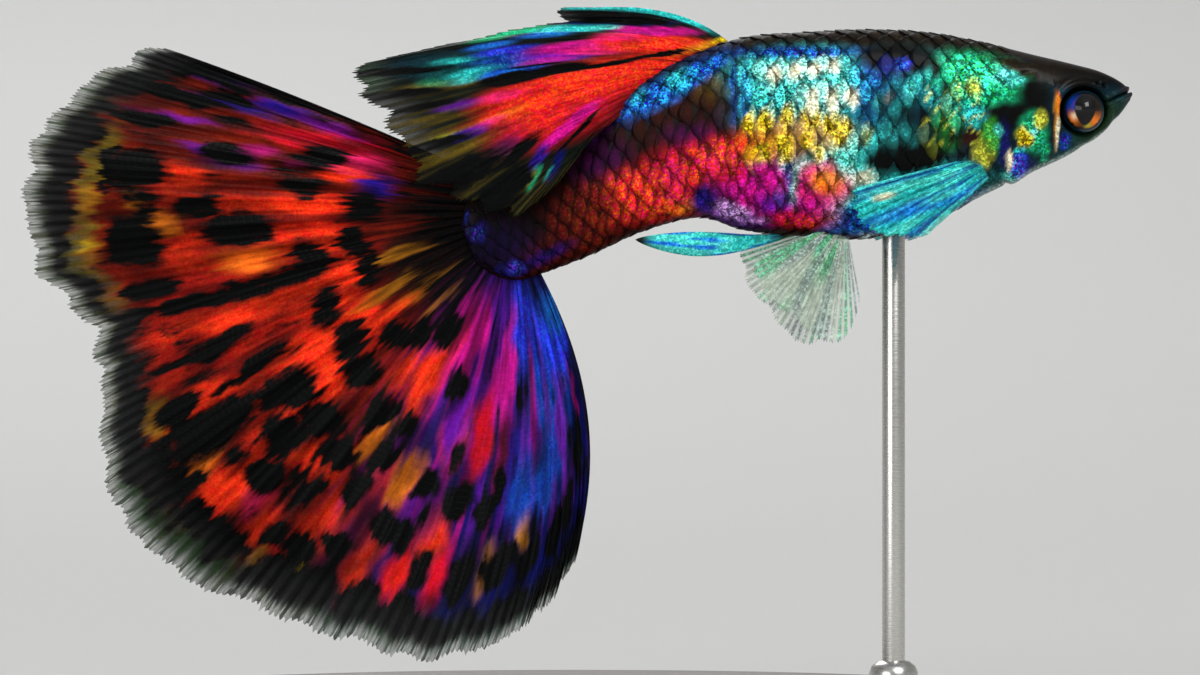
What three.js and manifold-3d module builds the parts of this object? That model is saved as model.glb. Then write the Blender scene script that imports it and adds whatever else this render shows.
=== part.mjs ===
// A fancy guppy, male, as a life-size still model held over a flat base by one short rod.
// Millimetres, +Z up. The fish faces +X and shows its right side to -Y.
import * as THREE from "three";
import { mergeVertices } from "three/addons/utils/BufferGeometryUtils.js";
import Module from "manifold-3d";

const wasm = await Module();
wasm.setup();

// Driving dimensions. The fish is laid out in its own frame: x runs back from the snout tip, z up from it.
const BODY_LENGTH = 33; // snout tip to the end of the scaled tail root
const GAP = 0.3; // clear space between neighbouring pieces
const BASE = { length: 46, depth: 25, height: 3.6, bevel: 0.7 };
const ROD = { radius: 0.55, snoutDistance: 11.4, socketRadius: 1.5, socketHeight: 1.1 };
const TAIL_CLEARANCE = 1.1; // lowest tail ray above the base

// Cross-sections of the body from the snout to the tail root. Each runs from a point on the back to one on the
// belly, is half wide at its widest, and has that widest level raised by lift. A low box gives a fuller section.
const STATIONS = [
  { back: [-0.02, 0.12], belly: [-0.05, -0.3], half: 0.3, lift: 0, box: 0.9 },
  { back: [-0.5, 0.56], belly: [-0.6, -1.05], half: 0.78, lift: 0.1, box: 0.85 },
  { back: [-1.5, 1.06], belly: [-1.6, -2.0], half: 1.22, lift: 0.15, box: 0.8 },
  { back: [-2.9, 1.44], belly: [-3.1, -2.98], half: 1.66, lift: 0.12, box: 0.74 },
  { back: [-4.6, 1.84], belly: [-4.9, -3.82], half: 2.05, lift: 0.08, box: 0.74 },
  { back: [-6.6, 2.33], belly: [-7.0, -4.82], half: 2.34, lift: 0, box: 0.8 },
  { back: [-9.2, 2.84], belly: [-9.8, -6.18], half: 2.48, lift: -0.05, box: 0.84 },
  { back: [-12.2, 3.07], belly: [-12.6, -6.9], half: 2.44, lift: -0.05, box: 0.88 },
  { back: [-15.4, 2.96], belly: [-15.6, -6.8], half: 2.24, lift: 0, box: 0.9 },
  { back: [-18.8, 2.66], belly: [-18.6, -6.5], half: 1.95, lift: 0, box: 0.92 },
  { back: [-21.4, 1.74], belly: [-20.6, -5.9], half: 1.7, lift: 0, box: 0.95 },
  { back: [-24.4, 0.2], belly: [-23.4, -6.55], half: 1.45, lift: 0, box: 0.95 },
  { back: [-27.6, -1.75], belly: [-26.0, -7.7], half: 1.2, lift: 0, box: 0.95 },
];

// The scaled tail root ends as a round paddle, and the tail fin's rays stand round it.
const PADDLE = { x: -29.57, z: -6.29, radius: 2.6, top: 108, bottom: 298, half: 0.9, edgeHalf: 0.42, steps: 4 };
const SPINE_SWAY = { from: -14, to: -32, away: 1.4 }; // the tail stem swings away from the viewer

// Where the head, the torso and the tail stem part, as places along the row of stations
const HEAD_END = 4.72;
const TORSO_END = 10.85;
const BODY_SIDES = 26;

// Head details
const EYE = { x: -2.42, z: -0.9, y: 1.06, radius: 1.03, flat: 0.82 };
const GILL = { front: -3.72, rear: -7.15, top: 0.45, bottom: -4.15, depth: 0.62, innerEdge: 0.55 };
const MOUTH = { cornerX: -1.5, cornerZ: -0.55, tipZ: 0.17, slit: 0.24 };
const LIP = { radius: 0.17, offset: 0.26, upperPlace: 0.72, lowerPlace: 0.14, cornerPlace: 1.9 };
const NOSTRIL = { x: -1.5, z: 0.42, radius: 0.15, depth: 0.4 };

// Fins. Angles are in degrees, counter-clockwise from +X as seen from -Y.
const FIN_THICKNESS = 0.5;
const TIP_THICKNESS = 0.32;
const RIDGE = 0.28; // what a ray adds to the thickness on its crest
const COLUMNS_PER_RAY = 4;

const TAIL_FIN = {
  rays: 18,
  rows: 12,
  branchAt: 0.42,
  notch: 0.75,
  uneven: 0.5,
  rootRadius: 2.9,
  // Margin of the fan: ray angle from the paddle's centre, and distance in millimetres
  margin: [
    [153, 19.4],
    [159, 21.5],
    [165, 22.9],
    [171, 23.8],
    [178, 23.9],
    [186, 23.3],
    [194, 21.4],
    [202, 21.7],
    [210, 23.2],
    [219, 24.0],
    [228, 23.5],
    [238, 22.4],
    [249, 21.9],
    [259, 21.6],
    [268, 20.4],
    [275, 18.6],
    [281, 16.4],
  ],
  topTurn: 3,
  bottomTurn: 18,
  ripples: 3.2,
  rippleDepth: 0.95,
};

// Dorsal rays from the front: root on the back as a place along the stations, tip, sideways lean of the tip and bow
const DORSAL_RAYS = [
  { root: 9.0, tip: [-27.0, 4.45], lean: 1.5, bow: 1.0 },
  { root: 9.22, tip: [-28.4, 3.5], lean: 1.15, bow: 0.75 },
  { root: 9.44, tip: [-37.7, 1.4], lean: -0.25, bow: 1.3 },
  { root: 9.66, tip: [-37.0, -0.3], lean: -0.8, bow: 0.9 },
  { root: 9.88, tip: [-35.4, -2.3], lean: -1.25, bow: 0.5 },
  { root: 10.1, tip: [-34.2, -4.4], lean: -1.6, bow: 0.35 },
  { root: 10.32, tip: [-32.0, -5.7], lean: -1.85, bow: 0.3 },
  { root: 10.54, tip: [-29.6, -6.15], lean: -2.1, bow: 0.3 },
  { root: 10.76, tip: [-28.0, -4.9], lean: -2.15, bow: 0.25 },
];
const DORSAL = { rays: 9, rows: 12, sink: 0.5, branchAt: 0.5, notch: 0.6 };

// Paired fins: root, the two angles between which the rays open, tilt away from the body, and the rays' lengths
const PECTORAL = { x: -7.3, y: 2.0, z: -3.6, from: 195, to: 222, tilt: 15, spread: 1.2, rays: 8, rows: 7 };
const PECTORAL_MARGIN = [6.3, 6.75, 6.7, 6.3, 5.7, 5.0];
const PELVIC = { x: -13.95, y: 0.62, z: -6.45, from: 202, to: 281, tilt: 9, spread: 0.7, rays: 6, rows: 7 };
const PELVIC_MARGIN = [4.3, 4.9, 5.05, 5.1, 5.5, 5.7, 3.3];
const FAR_PELVIC = { swing: -12, stretch: 1.05 };
const GONOPODIUM = {
  rootX: -15.9,
  rootZ: -6.6,
  midX: -18.9,
  midZ: -7.35,
  tipX: -23.8,
  tipZ: -6.98,
  radius: 0.56,
};

const radians = THREE.MathUtils.degToRad;
const ease = (from, to, value) => THREE.MathUtils.smoothstep(value, Math.min(from, to), Math.max(from, to));

// Sideways offset of the spine at x
const sway = (x) => SPINE_SWAY.away * (1 - ease(SPINE_SWAY.to, SPINE_SWAY.from, x));

// A point on the paddle's rim at an angle
function paddlePoint(angle, radius = PADDLE.radius) {
  const a = radians(angle);
  return [PADDLE.x + radius * Math.cos(a), PADDLE.z + radius * Math.sin(a)];
}

// The stations with the paddle's own added, as curves that share one parameter
function bodyCurves() {
  const all = [...STATIONS];
  for (let i = 0; i < PADDLE.steps; i++) {
    const share = i / PADDLE.steps;
    const half = THREE.MathUtils.lerp(PADDLE.half, PADDLE.edgeHalf, share);
    const middle = (PADDLE.top + PADDLE.bottom) / 2;
    const back = paddlePoint(THREE.MathUtils.lerp(PADDLE.top, middle, share));
    const belly = paddlePoint(THREE.MathUtils.lerp(PADDLE.bottom, middle, share));
    all.push({ back, belly, half, lift: 0, box: 0.95 });
  }
  const curve = (points) => new THREE.CatmullRomCurve3(points, false, "centripetal");
  return {
    last: all.length - 1,
    back: curve(all.map((s) => new THREE.Vector3(s.back[0], 0, s.back[1]))),
    belly: curve(all.map((s) => new THREE.Vector3(s.belly[0], 0, s.belly[1]))),
    shape: curve(all.map((s, i) => new THREE.Vector3(s.half, s.lift, i))),
    box: all.map((s) => s.box),
  };
}
const BODY = bodyCurves();

// The section at a place along the stations: its two ends, half width, lift and box
function section(place) {
  const share = THREE.MathUtils.clamp(place / BODY.last, 0, 1);
  const shape = BODY.shape.getPoint(share);
  const low = Math.min(Math.floor(place), BODY.last - 1);
  const box = THREE.MathUtils.lerp(BODY.box[low], BODY.box[low + 1], THREE.MathUtils.clamp(place - low, 0, 1));
  return { back: BODY.back.getPoint(share), belly: BODY.belly.getPoint(share), half: shape.x, lift: shape.y, box };
}

// A point on the body's surface at a place along it. Turn 0 is the back, a half turn the belly, and -Y the near side.
// Grow moves the surface out, and reach 0 to 1 runs from the section's centre to the surface.
function bodyPoint(place, turn, grow = 0, reach = 1) {
  const s = section(place);
  const up = s.back.clone().sub(s.belly);
  const tall = up.length() / 2;
  up.normalize();
  const centre = s.back.clone().add(s.belly).multiplyScalar(0.5);
  const c = Math.cos(turn);
  const side = Math.sign(Math.sin(turn)) * Math.pow(Math.abs(Math.sin(turn)), s.box);
  const level = c + s.lift * (1 - c * c);
  const point = centre.clone().addScaledVector(up, (tall + grow) * level * reach);
  point.y = sway(point.x) - (s.half + grow) * side * reach;
  return point;
}

// A geometry with its shared corners merged, as a solid
function solid(geometry) {
  const bare = geometry.clone();
  bare.deleteAttribute("normal");
  bare.deleteAttribute("uv");
  const merged = mergeVertices(bare, 1e-4);
  const triVerts = new Uint32Array(merged.index.array);
  const build = () =>
    new wasm.Manifold(new wasm.Mesh({ numProp: 3, vertProperties: merged.attributes.position.array, triVerts }));
  const made = build();
  if (made.volume() > 0) return made;
  for (let i = 0; i < triVerts.length; i += 3) {
    [triVerts[i + 1], triVerts[i + 2]] = [triVerts[i + 2], triVerts[i + 1]];
  }
  return build();
}

// Moves every vertex of a geometry through a function of its old position
function reshape(geometry, move) {
  const p = geometry.attributes.position;
  for (let i = 0; i < p.count; i++) {
    const q = move(new THREE.Vector3().fromBufferAttribute(p, i), i);
    p.setXYZ(i, q.x, q.y, q.z);
  }
  return geometry;
}

// A length of the body between two places along the stations
function bodyLength(from, to, steps, grow = 0) {
  const barrel = new THREE.CylinderGeometry(1, 1, 1, BODY_SIDES, steps);
  return solid(
    reshape(barrel, (v) => {
      const place = THREE.MathUtils.lerp(from, to, 0.5 - v.y);
      return bodyPoint(place, Math.atan2(v.x, v.z), grow, Math.hypot(v.x, v.z));
    }),
  );
}

// A closed sheet of rays and membrane. Surface gives a point for the share across the rays and along them,
// and thickness its full thickness there. Both faces are split into triangles alike.
function finSheet(columns, rows, surface, thickness) {
  const plane = new THREE.PlaneGeometry(1, 1, columns, rows);
  const count = plane.attributes.position.count;
  const across = new Float32Array(count * 6);
  const step = 1e-3;
  for (let i = 0; i < count; i++) {
    const u = plane.attributes.uv.getX(i);
    const v = 1 - plane.attributes.uv.getY(i);
    const du = u > 0.5 ? -step : step;
    const dv = v > 0.5 ? -step : step;
    const at = surface(u, v);
    const alongU = surface(u + du, v).sub(at).multiplyScalar(Math.sign(du));
    const alongV = surface(u, v + dv).sub(at).multiplyScalar(Math.sign(dv));
    const normal = alongU.cross(alongV).normalize();
    const half = thickness(u, v) / 2;
    at.clone().addScaledVector(normal, half).toArray(across, i * 3);
    at.clone().addScaledVector(normal, -half).toArray(across, (count + i) * 3);
  }
  const front = [...plane.index.array];
  const faces = [...front];
  for (let i = 0; i < front.length; i += 3) {
    faces.push(front[i] + count, front[i + 2] + count, front[i + 1] + count);
  }
  const rim = [];
  for (let c = 0; c <= columns; c++) rim.push(c);
  for (let r = 1; r <= rows; r++) rim.push(r * (columns + 1) + columns);
  for (let c = columns - 1; c >= 0; c--) rim.push(rows * (columns + 1) + c);
  for (let r = rows - 1; r > 0; r--) rim.push(r * (columns + 1));
  rim.forEach((a, i) => {
    const b = rim[(i + 1) % rim.length];
    faces.push(a, b, b + count, a, b + count, a + count);
  });
  const sheet = new THREE.BufferGeometry().setAttribute("position", new THREE.BufferAttribute(across, 3));
  sheet.setIndex(faces);
  return solid(sheet);
}

// How far a ray's ridge stands at a place on a fin: 1 on each crest, 0 on the membrane. Rays fork in two on the way.
function ridge(u, v, rays, branchAt) {
  const off = Math.abs(((u * rays) % 1) - 0.5);
  const stem = Math.max(0, 1 - off * 2.8);
  const forked = 1 - Math.abs(off - 0.25) * 4;
  return THREE.MathUtils.lerp(stem, forked, ease(branchAt - 0.08, branchAt + 0.08, v));
}

// Thickness of a rayed fin at a place on it, thinner towards the tips
function rayedThickness(rays, branchAt) {
  return (u, v) => {
    const membrane = THREE.MathUtils.lerp(FIN_THICKNESS, TIP_THICKNESS, ease(0.55, 1, v));
    return membrane + RIDGE * ridge(u, v, rays, branchAt) * (1 - 0.5 * v);
  };
}

// A steady spread of numbers between -0.5 and 0.5, one for each whole number
const scatter = (n) => THREE.MathUtils.euclideanModulo(Math.sin(n * 12.9898 + 4.1) * 43758.5453, 1) - 0.5;

// How far the margin falls back from the ray tips at a share across a fin
function notch(u, rays, depth) {
  const off = Math.abs(((u * rays) % 1) - 0.5);
  const between = Math.abs(off - 0.25) * 4;
  return depth * between * (off < 0.25 ? 0.55 : 1);
}

// The largest closed piece of a solid, with slivers left by the cuts simplified away
function whole(made) {
  const pieces = made.decompose().sort((a, b) => b.volume() - a.volume());
  return pieces[0].simplify ? pieces[0].simplify(0.004) : pieces[0];
}

// Piecewise smooth value from a list, at a share from 0 to 1
function along(list, share) {
  const at = THREE.MathUtils.clamp(share, 0, 1) * (list.length - 1);
  const low = Math.min(Math.floor(at), list.length - 2);
  return THREE.MathUtils.lerp(list[low], list[low + 1], at - low);
}

// A closed prism of an outline in the XZ plane, from one Y to another
function prism(points, nearY, farY) {
  const shape = new THREE.Shape(points.map(([x, z]) => new THREE.Vector2(x, z)));
  const block = new THREE.ExtrudeGeometry(shape, { depth: farY - nearY, bevelEnabled: false });
  return solid(reshape(block, (v) => new THREE.Vector3(v.x, nearY + v.z, v.y)));
}

// Gill cover outline: a plate with a straight front and a round rear edge, grown by a margin
function gillOutline(margin) {
  const points = [];
  const middle = (GILL.top + GILL.bottom) / 2;
  const tall = (GILL.top - GILL.bottom) / 2 + margin;
  const centreX = GILL.front - 1.1;
  for (let a = 90; a <= 270; a += 15) {
    const c = Math.cos(radians(a));
    points.push([centreX + (centreX - GILL.rear + margin) * c, middle + tall * Math.sin(radians(a))]);
  }
  points.push([GILL.front + margin, GILL.bottom + 0.7 - margin], [GILL.front + margin, GILL.top - 0.5 + margin]);
  return points;
}

function ball(radius, x, y, z, flat = 1, wide = 20, tall = 14) {
  const sphere = new THREE.SphereGeometry(radius, wide, tall);
  sphere.rotateX(Math.PI / 2);
  sphere.scale(1, flat, 1);
  sphere.translate(x, y, z);
  return solid(sphere);
}

// A round bar between two points
function bar(from, to, radius, sides = 12) {
  const path = new THREE.LineCurve3(from, to);
  const shape = new THREE.Shape().absarc(0, 0, radius, 0, Math.PI * 2);
  return solid(new THREE.ExtrudeGeometry(shape, { steps: 1, bevelEnabled: false, extrudePath: path, curveSegments: sides }));
}

// A point on the near side of the head at a height
function surfaceAt(place, z) {
  let low = 0;
  let high = Math.PI;
  for (let i = 0; i < 24; i++) {
    const middle = (low + high) / 2;
    if (bodyPoint(place, middle).z > z) low = middle;
    else high = middle;
  }
  return bodyPoint(place, low);
}

// A lip: a slim roll that runs from one corner of the mouth round the snout to the other
function makeLip(frontPlace, offset) {
  const points = [];
  for (let i = -4; i <= 4; i++) {
    const share = Math.abs(i / 4);
    const place = THREE.MathUtils.lerp(frontPlace, LIP.cornerPlace, share * share);
    const level = THREE.MathUtils.lerp(MOUTH.tipZ, MOUTH.cornerZ, share * share);
    const at = surfaceAt(place, level + offset * (1 - 0.35 * share));
    points.push(new THREE.Vector3(at.x, at.y * 0.94 * Math.sign(i), at.z));
  }
  const ring = new THREE.Shape().absarc(0, 0, LIP.radius, 0, Math.PI * 2);
  const extrudePath = new THREE.CatmullRomCurve3(points);
  return solid(new THREE.ExtrudeGeometry(ring, { steps: 14, bevelEnabled: false, extrudePath, curveSegments: 3 }));
}

function makeGillCover(full, inner, side) {
  const [near, far] = side < 0 ? [-6, -GILL.innerEdge] : [GILL.innerEdge, 6];
  return whole(full.intersect(prism(gillOutline(0), near, far)).subtract(inner));
}

function mouthWedge() {
  const slit = MOUTH.slit;
  const tip = [1, MOUTH.tipZ];
  const corner = [MOUTH.cornerX, MOUTH.cornerZ];
  const chin = [MOUTH.cornerX - 0.25, -6];
  return {
    jaw: prism([[tip[0], tip[1] - slit / 2], [corner[0], corner[1] - slit / 2], chin, [1, -6]], -3, 3),
    room: prism(
      [
        [tip[0], tip[1] + slit / 2],
        [corner[0] - slit, corner[1] + slit / 2],
        [chin[0] - slit, chin[1]],
        [1, -6],
      ],
      -3,
      3,
    ),
  };
}

function makeHeadPieces(full, inner, clear) {
  const wedge = mouthWedge();
  const skull = bodyLength(0, HEAD_END, 12);
  const gillRoom = [-1, 1].map((side) => {
    const [near, far] = side < 0 ? [-6, -GILL.innerEdge + GAP] : [GILL.innerEdge - GAP, 6];
    return prism(gillOutline(GAP), near, far).subtract(clear);
  });
  const upperLip = makeLip(LIP.upperPlace, LIP.offset);
  const lowerLip = makeLip(LIP.lowerPlace, -LIP.offset);
  let head = skull.add(upperLip).subtract(wedge.room).subtract(gillRoom[0]).subtract(gillRoom[1]);
  let jaw = skull.add(lowerLip).intersect(wedge.jaw);
  for (const side of [-1, 1]) {
    const socket = ball(EYE.radius + GAP, EYE.x, side * EYE.y, EYE.z, EYE.flat, 18, 12);
    head = head.subtract(socket);
    jaw = jaw.subtract(socket);
    const pit = Math.abs(surfaceAt(1.9, NOSTRIL.z).y);
    const from = new THREE.Vector3(NOSTRIL.x, side * (pit - NOSTRIL.depth), NOSTRIL.z - 0.1);
    const to = new THREE.Vector3(NOSTRIL.x + 0.25, side * (pit + 1), NOSTRIL.z + 0.5);
    head = head.subtract(bar(from, to, NOSTRIL.radius, 6));
  }
  return {
    head: whole(head),
    jaw: whole(jaw),
    gillRoom,
    covers: [-1, 1].map((side) => makeGillCover(full, inner, side)),
  };
}

// Tail fin: a pleated fan whose rays leave the paddle's rim and run out to the margin
function tailFinSurface() {
  const angles = TAIL_FIN.margin.map(([angle]) => angle);
  const reach = TAIL_FIN.margin.map(([, distance]) => distance);
  return (u, v) => {
    const tipAngle = along(angles, u);
    const ray = Math.min(Math.floor(u * TAIL_FIN.rays * 2), TAIL_FIN.rays * 2 - 1);
    const short = notch(u, TAIL_FIN.rays, TAIL_FIN.notch) - TAIL_FIN.uneven * scatter(ray);
    const tip = paddlePoint(tipAngle, along(reach, u) - short);
    const root = paddlePoint(THREE.MathUtils.lerp(PADDLE.top, PADDLE.bottom, u), TAIL_FIN.rootRadius);
    const turn = TAIL_FIN.topTurn * (1 - ease(0, 0.35, u)) + TAIL_FIN.bottomTurn * ease(0.6, 1, u);
    const heading = radians(tipAngle + turn);
    const chord = Math.hypot(tip[0] - root[0], tip[1] - root[1]) * 0.55;
    const bend = [root[0] + chord * Math.cos(heading), root[1] + chord * Math.sin(heading)];
    const w = [(1 - v) * (1 - v), 2 * v * (1 - v), v * v];
    const x = w[0] * root[0] + w[1] * bend[0] + w[2] * tip[0];
    const z = w[0] * root[1] + w[1] * bend[1] + w[2] * tip[1];
    const ripple = TAIL_FIN.rippleDepth * Math.sin(u * TAIL_FIN.ripples * 2 * Math.PI + 0.6) * v * v;
    const y = THREE.MathUtils.lerp(sway(PADDLE.x), 0.25, ease(0, 1, v)) + ripple;
    return new THREE.Vector3(x, y, z);
  };
}

function makeTailFin(clear) {
  const { rays, rows, branchAt } = TAIL_FIN;
  const sheet = finSheet(rays * COLUMNS_PER_RAY, rows, tailFinSurface(), rayedThickness(rays, branchAt));
  return whole(sheet.subtract(clear));
}

// Dorsal fin: the front rays lean away, and the long rear rays sweep back and hang over the near flank
function dorsalSurface() {
  const roots = DORSAL_RAYS.map((ray) => ray.root);
  const tipX = DORSAL_RAYS.map((ray) => ray.tip[0]);
  const tipZ = DORSAL_RAYS.map((ray) => ray.tip[1]);
  const leans = DORSAL_RAYS.map((ray) => ray.lean);
  const bows = DORSAL_RAYS.map((ray) => ray.bow);
  return (u, v) => {
    const root = bodyPoint(along(roots, u), 0, -DORSAL.sink);
    const tip = new THREE.Vector3(along(tipX, u), 0, along(tipZ, u));
    const across = tip.clone().sub(root);
    across.multiplyScalar(1 - notch(u, DORSAL.rays, DORSAL.notch) / across.length());
    const raised = new THREE.Vector3(across.z, 0, -across.x).normalize().multiplyScalar(along(bows, u));
    const bow = Math.sin(Math.PI * Math.pow(v, 0.8));
    const point = root.clone().addScaledVector(across, v).addScaledVector(raised, bow);
    point.y = root.y + (along(leans, u) - root.y * 0.4) * ease(0, 0.55, v);
    return point;
  };
}

function makeDorsalFin(clear) {
  const { rays, rows, branchAt } = DORSAL;
  const sheet = finSheet(rays * COLUMNS_PER_RAY, rows, dorsalSurface(), rayedThickness(rays, branchAt));
  return whole(sheet.subtract(clear));
}

// A fan of rays from one root, opening between two angles and tilted out from the body's side
function fanSurface({ x, y, z, from, to, tilt, spread, rays }, margin, side) {
  const across = radians((from + to) / 2 + 90);
  return (u, v) => {
    const angle = radians(THREE.MathUtils.lerp(from, to, u));
    const distance = v * (along(margin, u) - notch(u, rays, 0.3));
    const width = spread * (u - 0.5);
    const px = x + distance * Math.cos(angle) + width * Math.cos(across);
    const pz = z + distance * Math.sin(angle) + width * Math.sin(across);
    const out = y + distance * Math.sin(radians(tilt)) + 0.12 * Math.sin(u * 9) * v;
    return new THREE.Vector3(px, side * out, pz);
  };
}

function makeFan(fin, margin, clear, side) {
  const surface = fanSurface(fin, margin, side);
  const sheet = finSheet(fin.rays * COLUMNS_PER_RAY, fin.rows, surface, rayedThickness(fin.rays, 0.55));
  return whole(sheet.subtract(clear));
}

// The far pelvic fin is held further back and reaches past the near one
function makePelvicFin(clear, side) {
  if (side < 0) return makeFan(PELVIC, PELVIC_MARGIN, clear, side);
  const swung = { ...PELVIC, from: PELVIC.from + FAR_PELVIC.swing, to: PELVIC.to + FAR_PELVIC.swing };
  const longer = PELVIC_MARGIN.map((length) => length * FAR_PELVIC.stretch);
  return makeFan(swung, longer, clear, side);
}

// The gonopodium: the anal fin of a male, a slim rod that points back under the belly
function makeGonopodium(clear) {
  const { rootX, rootZ, midX, midZ, tipX, tipZ, radius } = GONOPODIUM;
  const path = new THREE.QuadraticBezierCurve3(
    new THREE.Vector3(rootX, sway(rootX), rootZ),
    new THREE.Vector3(midX, sway(midX), midZ - 0.35),
    new THREE.Vector3(tipX, sway(tipX) * 0.6, tipZ),
  );
  const barrel = new THREE.CylinderGeometry(1, 1, 1, 10, 14);
  const made = reshape(barrel, (v) => {
    const share = 0.5 - v.y;
    const at = path.getPoint(share);
    const girth = radius * Math.pow(Math.abs(Math.sin(Math.PI * Math.pow(share, 1.6))), 0.7);
    return new THREE.Vector3(at.x, at.y + v.x * Math.max(0.26, girth * 0.6), at.z + v.z * Math.max(0.22, girth));
  });
  return whole(solid(made).subtract(clear));
}

// The stand: an oval base with a bevelled rim, a socket and a rod up to the belly. Heights are above the floor.
function makeBase() {
  const half = new THREE.Vector2(BASE.length / 2, BASE.depth / 2);
  const profile = [
    [0, 0],
    [1, 0],
    [1, BASE.height - BASE.bevel],
    [1 - BASE.bevel / half.y, BASE.height],
    [0, BASE.height],
  ];
  const turned = new THREE.LatheGeometry(profile.map(([x, y]) => new THREE.Vector2(x, y)), 56);
  return solid(
    reshape(turned, (v) => {
      const inset = 1 - Math.hypot(v.x, v.z);
      const angle = Math.atan2(v.z, v.x);
      const margin = v.y > 0 ? inset * half.y : 0;
      const size = Math.hypot(v.x, v.z) < 1e-6 ? new THREE.Vector2() : half.clone().subScalar(margin);
      return new THREE.Vector3(size.x * Math.cos(angle), size.y * Math.sin(angle), v.y);
    }),
  );
}

function makeSocket(x) {
  const top = BASE.height + GAP;
  const r = ROD.socketRadius;
  const profile = [
    [ROD.radius + GAP, top],
    [r, top],
    [r, top + ROD.socketHeight * 0.45],
    [r * 0.78, top + ROD.socketHeight],
    [ROD.radius + GAP, top + ROD.socketHeight],
    [ROD.radius + GAP, top],
  ];
  const ring = new THREE.LatheGeometry(profile.map(([px, py]) => new THREE.Vector2(px, py)), 28);
  ring.rotateX(Math.PI / 2);
  ring.translate(x, 0, 0);
  return solid(ring);
}

function makeRod(x, topZ) {
  return bar(new THREE.Vector3(x, 0, BASE.height + GAP), new THREE.Vector3(x, 0, topZ), ROD.radius, 18);
}

// A named mesh of a solid
function meshOf(name, made, material) {
  const { numProp, vertProperties, triVerts } = made.getMesh();
  const position = new Float32Array((vertProperties.length / numProp) * 3);
  for (let i = 0; i < position.length / 3; i++) {
    position.set(vertProperties.subarray(i * numProp, i * numProp + 3), i * 3);
  }
  const geometry = new THREE.BufferGeometry().setAttribute("position", new THREE.BufferAttribute(position, 3));
  geometry.setIndex(new THREE.BufferAttribute(triVerts, 1));
  geometry.computeVertexNormals();
  const mesh = new THREE.Mesh(geometry, material);
  mesh.name = name;
  return mesh;
}

const finish = (color, roughness, metalness) => new THREE.MeshStandardMaterial({ color, roughness, metalness });
const MATERIALS = {
  head: finish(0x2f6f63, 0.35, 0.4),
  gill: finish(0x46b0a0, 0.3, 0.5),
  torso: finish(0x2aa6b8, 0.3, 0.5),
  stem: finish(0xb8321f, 0.35, 0.4),
  eye: finish(0x120a10, 0.08, 0),
  tailFin: finish(0xd23a12, 0.45, 0.1),
  dorsal: finish(0xc8402a, 0.45, 0.1),
  clearFin: finish(0x9fc9b4, 0.3, 0),
  gonopodium: finish(0x39c7cf, 0.3, 0.4),
  base: finish(0x2b1d14, 0.4, 0),
  metal: finish(0xb9b7b0, 0.25, 1),
};

function makeFish() {
  const fish = new THREE.Group();
  const full = bodyLength(0, BODY.last, 44);
  const inner = bodyLength(0, BODY.last, 44, -GILL.depth);
  const innerClear = bodyLength(0, BODY.last, 44, -GILL.depth - GAP);
  const clear = bodyLength(0, BODY.last, 44, GAP);
  const gapPlaces = GAP / 3;
  const headPieces = makeHeadPieces(full, inner, innerClear);
  const [nearRoom, farRoom] = headPieces.gillRoom;
  const torso = bodyLength(HEAD_END + gapPlaces * 1.6, TORSO_END, 20).subtract(nearRoom).subtract(farRoom);
  const stem = bodyLength(TORSO_END + gapPlaces, BODY.last, 20);
  fish.add(meshOf("head", headPieces.head, MATERIALS.head));
  fish.add(meshOf("lower_jaw", headPieces.jaw, MATERIALS.head));
  fish.add(meshOf("torso", whole(torso), MATERIALS.torso));
  fish.add(meshOf("tail_stem", whole(stem), MATERIALS.stem));
  fish.add(meshOf("tail_fin", makeTailFin(clear), MATERIALS.tailFin));
  fish.add(meshOf("dorsal_fin", makeDorsalFin(clear), MATERIALS.dorsal));
  fish.add(meshOf("gonopodium", makeGonopodium(clear), MATERIALS.gonopodium));
  [["right", -1], ["left", 1]].forEach(([word, side], i) => {
    fish.add(meshOf("gill_cover_" + word, headPieces.covers[i], MATERIALS.gill));
    fish.add(meshOf("eye_" + word, ball(EYE.radius, EYE.x, side * EYE.y, EYE.z, EYE.flat), MATERIALS.eye));
    fish.add(meshOf("pectoral_fin_" + word, makeFan(PECTORAL, PECTORAL_MARGIN, clear, side), MATERIALS.clearFin));
    fish.add(meshOf("pelvic_fin_" + word, makePelvicFin(clear, side), MATERIALS.clearFin));
  });
  return fish;
}

const part = new THREE.Group();
const fish = makeFish();
const size = new THREE.Box3().setFromObject(fish);
fish.position.set(-(size.min.x + size.max.x) / 2, 0, BASE.height + TAIL_CLEARANCE - size.min.z);
part.add(fish);

const rodX = fish.position.x - ROD.snoutDistance;
const bellyPlace = THREE.MathUtils.lerp(6, 7, (ROD.snoutDistance - 9.8) / (12.6 - 9.8));
const rodTop = fish.position.z + bodyPoint(bellyPlace, Math.PI).z - GAP;
part.add(meshOf("stand_base", makeBase(), MATERIALS.base));
part.add(meshOf("stand_socket", makeSocket(rodX), MATERIALS.metal));
part.add(meshOf("stand_rod", makeRod(rodX, rodTop), MATERIALS.metal));

export default part;
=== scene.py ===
"""A grown male fancy guppy as a life-size display model, held over an oval wooden base by one steel rod."""
import logging
import math
import random
from dataclasses import astuple, dataclass, field
from enum import Enum
from typing import Callable, Iterable, Sequence

import bmesh
import bpy
from mathutils import Matrix, Vector, noise

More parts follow.
